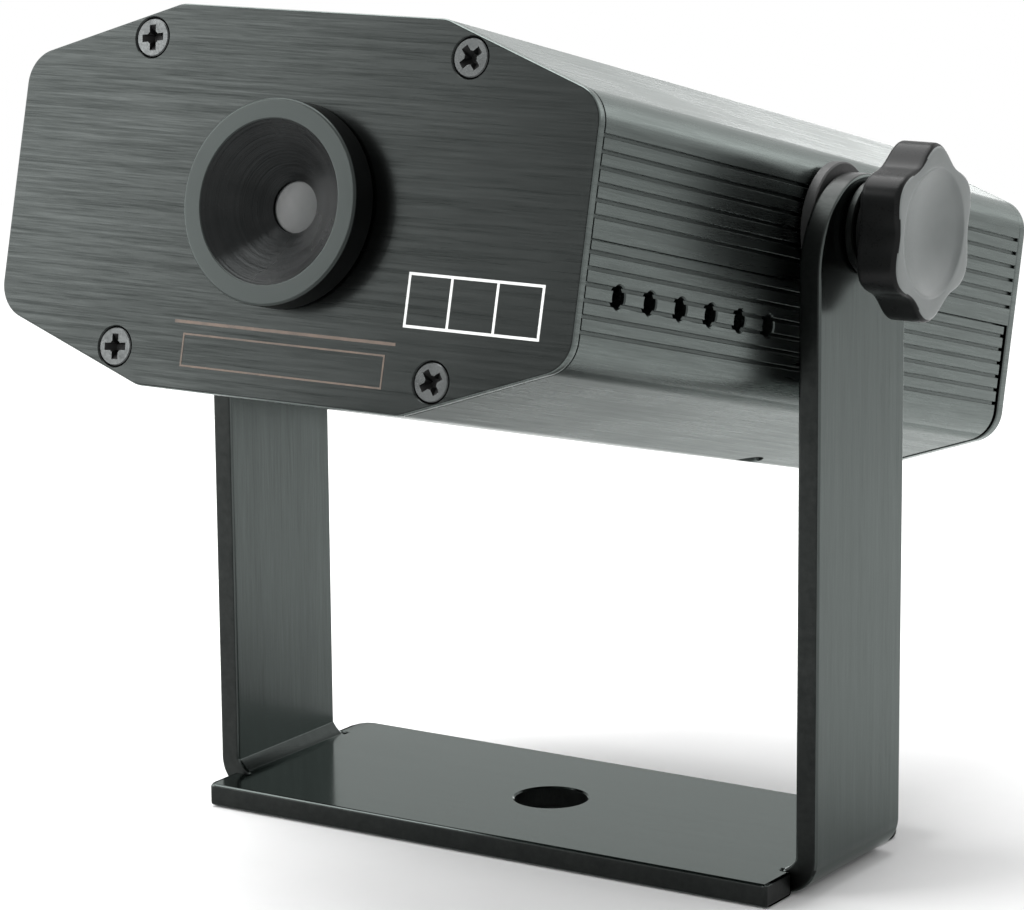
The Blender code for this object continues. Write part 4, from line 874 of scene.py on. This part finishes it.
def makeFanScrews():
    head, high, shank, length = (fanScrew[key] for key in ("head", "height", "shank", "length"))
    shoulder = fanScrew["shoulder"] * high
    dome = [(head * math.cos(math.radians(a)), shoulder + (high - shoulder) * math.sin(math.radians(a)))
            for a in range(75, -1, -15)]
    profile = [(0, high)] + dome + [(head, 0), (shank, 0), (shank, -length), (0, -length)]
    shape = screwShape("fanScrewShape", profile, fanScrew, high)
    placeScrews("fan", shape, fanSpots(), backFace + seatGap, fanScrew["turns"], toBack)
    bpy.data.objects.remove(shape)


makeFrontPlate()
makeBackPlate()
makePlateScrews()
makeFanScrews()
print("plates and screws ready")


# Beam hood and lens

hood = measures(
    radius=13.7, rimInner=10.9, lip=4.6, spigot=7.6, tail=-4.9, bore=3.5, coneDepth=6.2, edge=0.4, innerEdge=0.2,
    lensRadius=3.44, lensDrop=0.05, crown=0.3, lensThick=1.6,
) | {"coneSteps": 8, "crownSteps": 12, "segments": 128, "lensSegments": 64}


def makeHood():
    lip, edge, fine, radius = hood["lip"], hood["edge"], hood["innerEdge"], hood["radius"]
    rim, bore, spigot, tail, steps = (hood[key] for key in ("rimInner", "bore", "spigot", "tail", "coneSteps"))
    start = lip - hood["coneDepth"]
    flare = [(bore + (rim - bore) * i / steps, start + (lip - fine - start) * i / steps) for i in range(steps)]
    profile = bow((radius - edge, lip - edge), edge, 90, 0, 6)
    profile += [(radius, seatGap + fine), (radius - fine, seatGap), (spigot, seatGap), (spigot, tail),
                (bore, tail)]
    profile += flare + bow((rim + fine, lip - fine), fine, 150, 90, 4)
    thing = addTurned("beamHood", profile, hood["segments"])
    place = housingPlace @ Matrix.Translation((0, frontFace, 0)) @ toFront
    cone = facesWhere(thing, lambda face: face.center.xy.length < rim - fine / 2)
    # the outer side takes the painted shade
    side = facesWhere(thing, lambda face: face.center.xy.length > rim and face.normal.z < 0.3)
    settle(thing, place, "hood cone hoodSide", "housing", "black_anodised", "lens_hood", parts=[cone, side])
    radius, crown, steps = hood["lensRadius"], hood["crown"], hood["crownSteps"]
    top = start - hood["lensDrop"]
    dome = [(radius * (1 - i / steps), top - crown * (1 - i / steps) ** 2) for i in range(steps + 1)]
    low = top - crown - hood["lensThick"]
    lens = addTurned("beamLens", dome + [(0, low), (radius, low)], hood["lensSegments"])
    settle(lens, place, "lens", "housing", "clear_glass", "output_lens")


makeHood()
print("hood ready")


# Clamp knobs, washers and spacers on the tilt axis

knob = measures(
    radius=12.35, lobeDepth=1.9, headStart=2.9, headThick=6.1, belt=(2.3, 3.8), shoulder=10.4, rim=9.6,
    hub=6.2, hubEdge=0.3, dish=9.0, dishDepth=2.4, step=0.5,
    lip=((0.15, 0), (0, 0.04), (-0.1, 0.14)),      # out and down from the dish's edge
    edge=0.9, lowEdge=0.7, socket=3.3, socketDepth=5.3, socketEdge=0.25, out=53.5,
    lobesFrom=2.0, faceMargin=0.3, floorMargin=0.1,
) | {"lobes": 6, "restTurn": math.radians(8), "segments": 192, "dishSteps": 12, "wallSlope": 0.6,
     "hollowUp": 0.5, "faceUp": 0.8}      # the last two: least upward share of a normal
clamp = measures(
    spacerOut=46.3, spacerRadius=8.8, spacerThick=1.7, washerOut=52.0, washerRadius=6.5, washerThick=1.2,
    bore=3.3, edge=0.2,
) | {"segments": 64}


def knobProfile():
    radius, edge, low, hub, hubEdge = (knob[key] for key in ("radius", "edge", "lowEdge", "hub", "hubEdge"))
    dish, step, socket, socketEdge = (knob[key] for key in ("dish", "step", "socket", "socketEdge"))
    start, top = knob["headStart"], knob["headStart"] + knob["headThick"]
    profile = [(0, knob["socketDepth"]), (socket, knob["socketDepth"]), (socket, socketEdge),
               (socket + socketEdge, 0)]
    profile += bow((hub - hubEdge, hubEdge), hubEdge, -90, 0, 3)
    profile += [(hub, start - hubEdge), (hub + hubEdge, start), (dish, start), (knob["shoulder"], start)]
    profile += bow((radius - low, start + low), low, -90, 0, 5)
    profile += [(radius, start + rise) for rise in knob["belt"]]
    profile += bow((radius - edge, top - edge), edge, 0, 90, 6)
    profile += [(knob["shoulder"], top), (knob["rim"], top)]
    profile += [(dish + out, top - down) for out, down in knob["lip"]]
    # a short steep wall, then the hollow
    reach, deep = dish + knob["lip"][-1][0] - knob["wallSlope"] * step, knob["dishDepth"] - step
    sphere = (reach ** 2 + deep ** 2) / (2 * deep)
    centre, steps = top - knob["dishDepth"] + sphere, knob["dishSteps"]
    angles = [math.asin(reach / sphere) * i / steps for i in range(steps, -1, -1)]
    return profile + [(sphere * math.sin(a), centre - sphere * math.cos(a)) for a in angles]


def ringProfile(inner, outer, thick, edge):
    return [(inner + edge, 0), (outer - edge, 0), (outer, edge), (outer, thick - edge), (outer - edge, thick),
            (inner + edge, thick), (inner, thick - edge), (inner, edge)]


def makeClamp(side):
    sign = 1 if side == "right" else -1

    def placed(out):
        return tiltPlace @ Matrix.Translation((sign * out, 0, 0)) @ Matrix.Rotation(sign * math.pi / 2, 4, "Y")

    head = addTurned(side + "Knob", knobProfile(), knob["segments"])
    reach = knob["dish"] + knob["faceMargin"]
    runTree(head, lobed, lobes=knob["lobes"], depth=knob["lobeDepth"], inner=reach, outer=knob["radius"],
            turn=knob["restTurn"], low=knob["lobesFrom"], material=finishes["knob"])
    floor = knob["headStart"] + knob["headThick"] - knob["dishDepth"] - knob["floorMargin"]
    # the dish and the upward face take the painted sheen
    hollow = facesWhere(head, lambda face: face.center.z > floor and face.normal.z > knob["hollowUp"]
                        and (face.normal.z > knob["faceUp"] or face.center.xy.length < reach))
    settle(head, placed(knob["out"]), "knob knobFace", side + "_knob", "black_plastic", side + "_knob",
           sharp=50, parts=[hollow])
    # the washers take the dark edge finish as painted shade between knob and arm
    for part, look, body, slotName in (("washer", "cutEdge", side + "_clamp", "steel"),
                                       ("spacer", "rubber", "housing", "grey_rubber")):
        profile = ringProfile(clamp["bore"], clamp[part + "Radius"], clamp[part + "Thick"], clamp["edge"])
        ring = addTurned(side + part.capitalize(), profile, clamp["segments"])
        settle(ring, placed(clamp[part + "Out"]), look, body, slotName, f"{side}_{part}")


makeClamp("right")
makeClamp("left")
print("clamps ready")


# Yoke, cut flat and folded

yoke = measures(
    sheet=3.4, armHalf=12.7, armInner=48.3, roundDrop=5.3, bend=1.8, halfLength=48.1, halfDepth=20.55,
    corner=0.45, backCorner=2.4, notch=0.6, notchInset=0.15, hole=5.5, holeEdge=0.25, studHole=3.45,
    pivotHeight=93.3, edge=0.5, footMargin=0.3,
) | {"bendSteps": 18, "fillet": 1.25, "bendShadeSpread": 0.36, "holeSegments": 64,
     "facing": 0.8, "aside": 0.3, "bendUp": 0.5}      # shares of a normal, for sorting the faces
foldStart = yoke["armInner"] - yoke["bend"]
foldLength = math.pi / 2 * (yoke["bend"] + yoke["sheet"] / 2)


def flatQuarter():
    armHalf, length, depth = yoke["armHalf"], yoke["halfLength"], yoke["halfDepth"]
    centre = foldStart + foldLength + yoke["pivotHeight"] - yoke["roundDrop"] - yoke["sheet"] - yoke["bend"]
    notch, low = foldStart - yoke["notchInset"], -armHalf - yoke["notch"]
    sides = []
    for radius in (yoke["corner"], yoke["backCorner"]):
        ear = roundCorner((0, -depth), (length, -depth), (length, 0), radius, math.radians(12))
        sides.append(ear + [(length, low), (notch, low), (notch, -armHalf)])
    end = arcPoints((centre, 0), armHalf, -math.pi / 2, math.pi / 2, math.radians(4))
    return sides[0] + end + [(x, -y) for x, y in reversed(sides[1])]


def foldedPlace(point):
    over = abs(point.x) - foldStart
    if over <= 0 or abs(point.y) > yoke["armHalf"] + yoke["notch"] / 2:
        return point
    angle = min(over / foldLength, 1.0) * math.pi / 2
    radius = yoke["bend"] + yoke["sheet"] - point.z
    if point.z > yoke["sheet"] / 2:                       # the press leaves the inside of the bend nearly flat
        power = yoke["fillet"]
        radius /= (math.cos(angle) ** power + math.sin(angle) ** power) ** (1 / power)
    x = foldStart + radius * math.sin(angle)
    z = yoke["sheet"] + yoke["bend"] - radius * math.cos(angle) + max(over - foldLength, 0.0)
    return Vector((math.copysign(x, point.x), point.y, z))


def makeYoke():
    sheet, edge, hole, pivot = yoke["sheet"], yoke["holeEdge"], yoke["hole"], yoke["pivotHeight"]
    outline = flatQuarter() + [(-x, y) for x, y in reversed(flatQuarter())]
    bm = bmesh.new()
    extrudeInto(bm, [(x, y, 0) for x, y in outline], (0, 0, sheet))
    for side in (-1, 1):
        for i in range(yoke["bendSteps"] + 1):
            where = side * (foldStart + foldLength * i / yoke["bendSteps"])
            parts = list(bm.verts) + list(bm.edges) + list(bm.faces)
            bmesh.ops.bisect_plane(bm, geom=parts, dist=weldGap, plane_co=(where, 0, 0), plane_no=(1, 0, 0))
    for corner in bm.verts:
        corner.co = foldedPlace(corner.co.copy())
    thing = addPiece("yokeFrame", bm)
    softenEdges(thing, yoke["edge"], 3, 50)
    reach = yoke["armInner"] + 2 * sheet
    drill(thing, (0, pivot), yoke["studHole"], -reach, reach, "X")
    wide = hole + mm + edge
    profile = [(0, -mm), (wide, -mm), (hole, edge), (hole, sheet - edge), (wide, sheet + mm), (0, sheet + mm)]
    cut(thing, addTurned("baseHole", profile, yoke["holeSegments"]))
    ground = sheet + yoke["footMargin"]
    # cut edges, the arms' rounded tops and the base's rim; on the rounded tops the dark finish is painted shade
    # in place of the lamp's highlight
    edges = facesWhere(thing, lambda face: abs(face.normal.y) > yoke["facing"]
                       or abs(face.normal.x) < yoke["aside"] and face.center.z > pivot / 2
                       or abs(face.normal.z) < yoke["aside"] and face.center.z < ground)
    # the base plate's faces, with their painted shade
    foot = set(facesWhere(thing, lambda face: face.center.z < ground)) - set(edges)
    # the middle of each bend's inner band takes the painted shade
    bendShadeFaces = facesWhere(thing, lambda face: face.normal.z > yoke["bendUp"] and face.normal.x * face.center.x < 0
                       and abs(abs(face.normal.x) - face.normal.z) < yoke["bendShadeSpread"])
    settle(thing, Matrix.Translation((0, jointPlaces["tilt"].y, 0)), "yoke foot cutEdge bend", "yoke",
           "dark_anodised", "yoke", parts=[foot, edges, bendShadeFaces])


makeYoke()
print("yoke ready")


# Speed knob, rocker and printed lines

speedKnob = measures(
    radius=5.2, length=6.0, fluteDepth=0.35, edge=0.5, footEdge=0.3, rim=(1.2, 1.5), sink=0.2,
    shaft=1.5, shaftLength=6.0, fluteMargin=0.4, pointerHalf=0.4, markDrop=0.3, markThick=0.12, markEdge=0.03,
) | {"flutes": 18, "segments": 216,
     "notch": (2, 0.9, 0.65), "mark": (1.5, 0.7, 0.58)}      # shares: width, length, way out
rocker = measures(
    pivotOut=63.1, halfLength=5.0, crest=3.3, valley=2.4, keel=1.4, halfWidth=3.3, edge=0.3,
    markX=3.0, bar=(0.3, 2.2), ring=(0.85, 1.15), markThick=0.1,
) | {"rest": math.radians(-9), "steps": 16, "ringSteps": 32}
printed = measures(
    back=0.002, thick=0.03, line=0.37, panel=(20.3, -14.3, 41.0, -7.1), dividers=(27.0, 34.0),
    strip=(-16.0, -16.62, 19.5), stripLine=0.42, frame=(-14.4, -22.6, 18.1, -18.1), frameLine=0.24,
)


def makeSpeedKnob():
    radius, length, edge, half = (speedKnob[key] for key in ("radius", "length", "edge", "pointerHalf"))
    shaft, low, foot = speedKnob["shaft"], -speedKnob["shaftLength"], speedKnob["footEdge"]
    rim, inner = speedKnob["rim"]
    face = length - speedKnob["sink"]

    def bar(wide, long, out, level, thick):
        bm = bmesh.new()
        blockInto(bm, lambda x, y, z: (x * wide * half, y * radius * long - radius * out, level + z * thick))
        return bm

    profile = [(0, low), (shaft, low), (shaft, 0), (radius - foot, 0), (radius, foot), (radius, length / 2)]
    profile += bow((radius - edge, length - edge), edge, 0, 90, 4)
    profile += [(radius - rim, length), (radius - inner, face), (0, face)]
    thing = addTurned("speedKnob", profile, speedKnob["segments"])
    runTree(thing, lobed, lobes=speedKnob["flutes"], depth=speedKnob["fluteDepth"], inner=radius - rim,
            outer=radius - speedKnob["fluteMargin"], turn=0.0, low=0.0, material=finishes["plastic"])
    cut(thing, bar(*speedKnob["notch"], length, 2 * half))
    place = Matrix.Translation(jointPlaces["speed_turn"]) @ Matrix.Rotation(-lean, 4, "X") @ toBack
    settle(thing, place, "plastic", "speed_knob", "black_plastic", "speed_knob", sharp=40)
    # the mark points up at mid travel
    level = length - speedKnob["markDrop"]
    mark = addPiece("speedPointer", bar(*speedKnob["mark"], level, speedKnob["markThick"]))
    softenEdges(mark, speedKnob["markEdge"], 2)
    settle(mark, place, "print", "speed_knob", "white_plastic")


def makeRocker():
    # a paddle with a hollow face, and the usual bar and ring on its ends
    length, crest, valley, half = (rocker[key] for key in ("halfLength", "crest", "valley", "halfWidth"))
    steps, keel, spot, thick = rocker["steps"], -rocker["keel"], rocker["markX"], rocker["markThick"]

    def lift(x):
        return valley + (crest - valley) * (x / length) ** 2

    outline = [(-length, keel), (length, keel)]
    outline += [(x, lift(x)) for x in [length * (1 - 2 * i / steps) for i in range(steps + 1)]]
    bm = bmesh.new()
    extrudeInto(bm, [(x, y, -half) for x, y in outline], (0, 0, 2 * half))
    thing = addPiece("powerRocker", bm)
    softenEdges(thing, rocker["edge"], 3, 45)
    place = housingPlace @ Matrix.Translation((plates["power"][0], rocker["pivotOut"], plates["power"][1]))
    place = place @ Matrix.Rotation(rocker["rest"], 4, "Z")
    settle(thing, place, "plastic", "power_rocker", "black_plastic", "power_rocker")
    bm = bmesh.new()
    wide, long = rocker["bar"]
    blockInto(bm, lambda x, y, z: (spot + x * wide, lift(spot + x * wide) + y * thick, z * long))
    inner, outer = rocker["ring"]      # radii
    corners = [(inner, -thick / 2), (outer, -thick / 2), (outer, thick / 2), (inner, thick / 2)]
    count, sides = rocker["ringSteps"], len(corners)
    ring = [bm.verts.new((-spot + r * math.cos(a), lift(-spot + r * math.cos(a)) + y, r * math.sin(a)))
            for a in [math.tau * i / count for i in range(count)] for r, y in corners]
    for i in range(count):
        for j in range(sides):
            a, b, after = sides * i, sides * ((i + 1) % count), (j + 1) % sides
            bm.faces.new((ring[a + j], ring[a + after], ring[b + after], ring[b + j]))
    settle(addPiece("rockerMarks", bm), place, "print", "power_rocker", "white_plastic")


def barInto(bm, *sides):
    prismInto(bm, rectangle(*sides), frontFace - printed["thick"], frontFace - printed["back"])


def frameInto(bm, x0, z0, x1, z1, line):
    # four bars round a rectangle, on the front plate
    barInto(bm, x0, z0, x1, z0 + line)
    barInto(bm, x0, z1 - line, x1, z1)
    barInto(bm, x0, z0 + line, x0 + line, z1 - line)
    barInto(bm, x1 - line, z0 + line, x1, z1 - line)


def makePrintedLines():
    bm = bmesh.new()
    x0, low, x1, high = printed["panel"]
    line = printed["line"]
    frameInto(bm, x0, low, x1, high, line)
    for x in printed["dividers"]:
        barInto(bm, x - line / 2, low + line, x + line / 2, high - line)
    settle(addPiece("printedPanel", bm), housingPlace, "print", "housing", "white_plastic")
    bm = bmesh.new()
    x0, z, x1 = printed["strip"]
    half = printed["stripLine"] / 2
    barInto(bm, x0, z - half, x1, z + half)
    frameInto(bm, *printed["frame"], printed["frameLine"])
    settle(addPiece("printedLines", bm), housingPlace, "copperPrint", "housing", "brass")


makeSpeedKnob()
makeRocker()
makePrintedLines()
print("controls and print ready")


# Nodes that stay as packed

keptNodes = {
    "aluminium": "tray grating_carrier green_laser_block red_laser_block mirror_post",
    "steel": "hood_nut grating_motor mode_switch microphone left_insert right_insert left_stud right_stud",
    "brass": "green_laser red_laser motor_pinion",
    "glass": "mirror grating_disc",
    "plastic": "fan_frame fan_rotor power_jack speed_control power_switch mode_slider",
    "whitePlastic": "grating_gear",
    "board": "control_board",
}
smoothAngle = math.radians(32)

for look, names in keptNodes.items():
    for name in names.split():
        node = frame["nodes"][name]
        node.data.materials.clear()
        node.data.materials.append(finishes[look])
        addTree(node, softShading, angle=smoothAngle)
print("kept nodes ready")


# Floor, light and camera

studio = {
    "floorSize": 6.0, "floorDrop": 0.2 * mm, "floorGrain": 60, "floorDark": (0.8,) * 3,
    "floorLight": (0.85,) * 3, "floorRough": 0.9,
    "fadeStart": 0.28, "fadeEnd": 0.65, "worldLight": 0.4,
    "lamps": {
        "overheadLamp": {"at": (-0.25, 0.1, 0.95), "to": (0, 0, 0.08), "size": (0.9, 0.9), "power": 14.0},
        "leftLamp": {"at": (-0.7, -0.5, 0.3), "to": (-0.03, -0.05, 0.09), "size": (0.62, 0.85), "power": 12.0},
        "rightLamp": {"at": (0.75, 0.8, 0.68), "to": (0.05, 0, 0.07), "size": (1.4, 1.0), "power": 6.4},
        "backLamp": {"at": (-0.5, 1.05, 0.06), "to": (0, 0, 0.1), "size": (0.8, 0.1), "power": 0.9},
    },
    "cameraAt": Vector((309.85, -492.86, 179.62)) * mm, "azimuth": 32.66, "elevation": 12.01, "roll": -0.5,
    "lens": 142.8, "clipStart": 0.01,
}


def seenWhite(tree):
    # 1 for what the camera sees, also in a mirror or through glass
    rays = addNode(tree, "ShaderNodeLightPath", {})
    seen = maths(tree, "ADD", rays["Is Camera Ray"], rays["Is Glossy Ray"])
    return addNode(tree, "ShaderNodeMath", {0: seen, 1: rays["Is Transmission Ray"]}, operation="ADD",
                   use_clamp=True)[0]


def makeFloor():
    half, low = studio["floorSize"] / 2, -studio["floorDrop"]
    bm = bmesh.new()
    bm.faces.new([bm.verts.new((x, y, low)) for x, y in rectangle(-half, -half, half, half)])
    floor = addPiece("studioFloor", bm)
    material, tree, shader = newFinish("floorFinish")
    place = objectCoords(tree)
    grain = grainNoise(tree, place, studio["floorGrain"], 4.0, 0.6)
    colour = blended(tree, grain, studio["floorDark"], studio["floorLight"])
    tree.links.new(colour, shader.inputs["Base Color"])
    shader.inputs["Roughness"].default_value = studio["floorRough"]
    away = mapped(tree, vectorMaths(tree, "LENGTH", place), studio["fadeStart"], studio["fadeEnd"], 0.0, 1.0)
    share = maths(tree, "MULTIPLY", seenWhite(tree), away)
    white = addNode(tree, "ShaderNodeEmission", {"Color": (1, 1, 1, 1), "Strength": 1.0})[0]
    mixed = addNode(tree, "ShaderNodeMixShader", {0: share, 1: shader.outputs[0], 2: white})[0]
    tree.links.new(mixed, tree.nodes["Material Output"].inputs["Surface"])
    floor.data.materials.append(material)


def makeWorld():
    world = bpy.data.worlds.new("studioWorld")
    bpy.context.scene.world = world
    world.use_nodes = True
    tree = world.node_tree
    ground = tree.nodes["Background"].inputs
    ground["Color"].default_value = (1, 1, 1, 1)
    tree.links.new(mapped(tree, seenWhite(tree), 0.0, 1.0, studio["worldLight"], 1.0), ground["Strength"])


def makeLamps():
    for name, settings in studio["lamps"].items():
        lamp = bpy.data.lights.new(name, "AREA")
        lamp.shape = "RECTANGLE"
        lamp.size, lamp.size_y = settings["size"]
        lamp.energy = settings["power"]
        thing = addObject(name, lamp)
        thing.location = settings["at"]
        aim = Vector(settings["to"]) - Vector(settings["at"])
        thing.rotation_euler = aim.to_track_quat("-Z", "Y").to_euler()


def makeCamera():
    view = bpy.data.cameras.new("photoCamera")
    view.lens = studio["lens"]
    view.clip_start = studio["clipStart"]
    camera = addObject("photoCamera", view)
    place = Matrix.Translation(studio["cameraAt"])
    for angle, axis in ((studio["azimuth"], "Z"), (90 - studio["elevation"], "X"), (studio["roll"], "Z")):
        place = place @ Matrix.Rotation(math.radians(angle), 4, axis)
    camera.matrix_world = place
    bpy.context.scene.camera = camera


makeFloor()
makeWorld()
makeLamps()
makeCamera()
bpy.context.scene.view_settings.view_transform = "Standard"
print("studio ready")
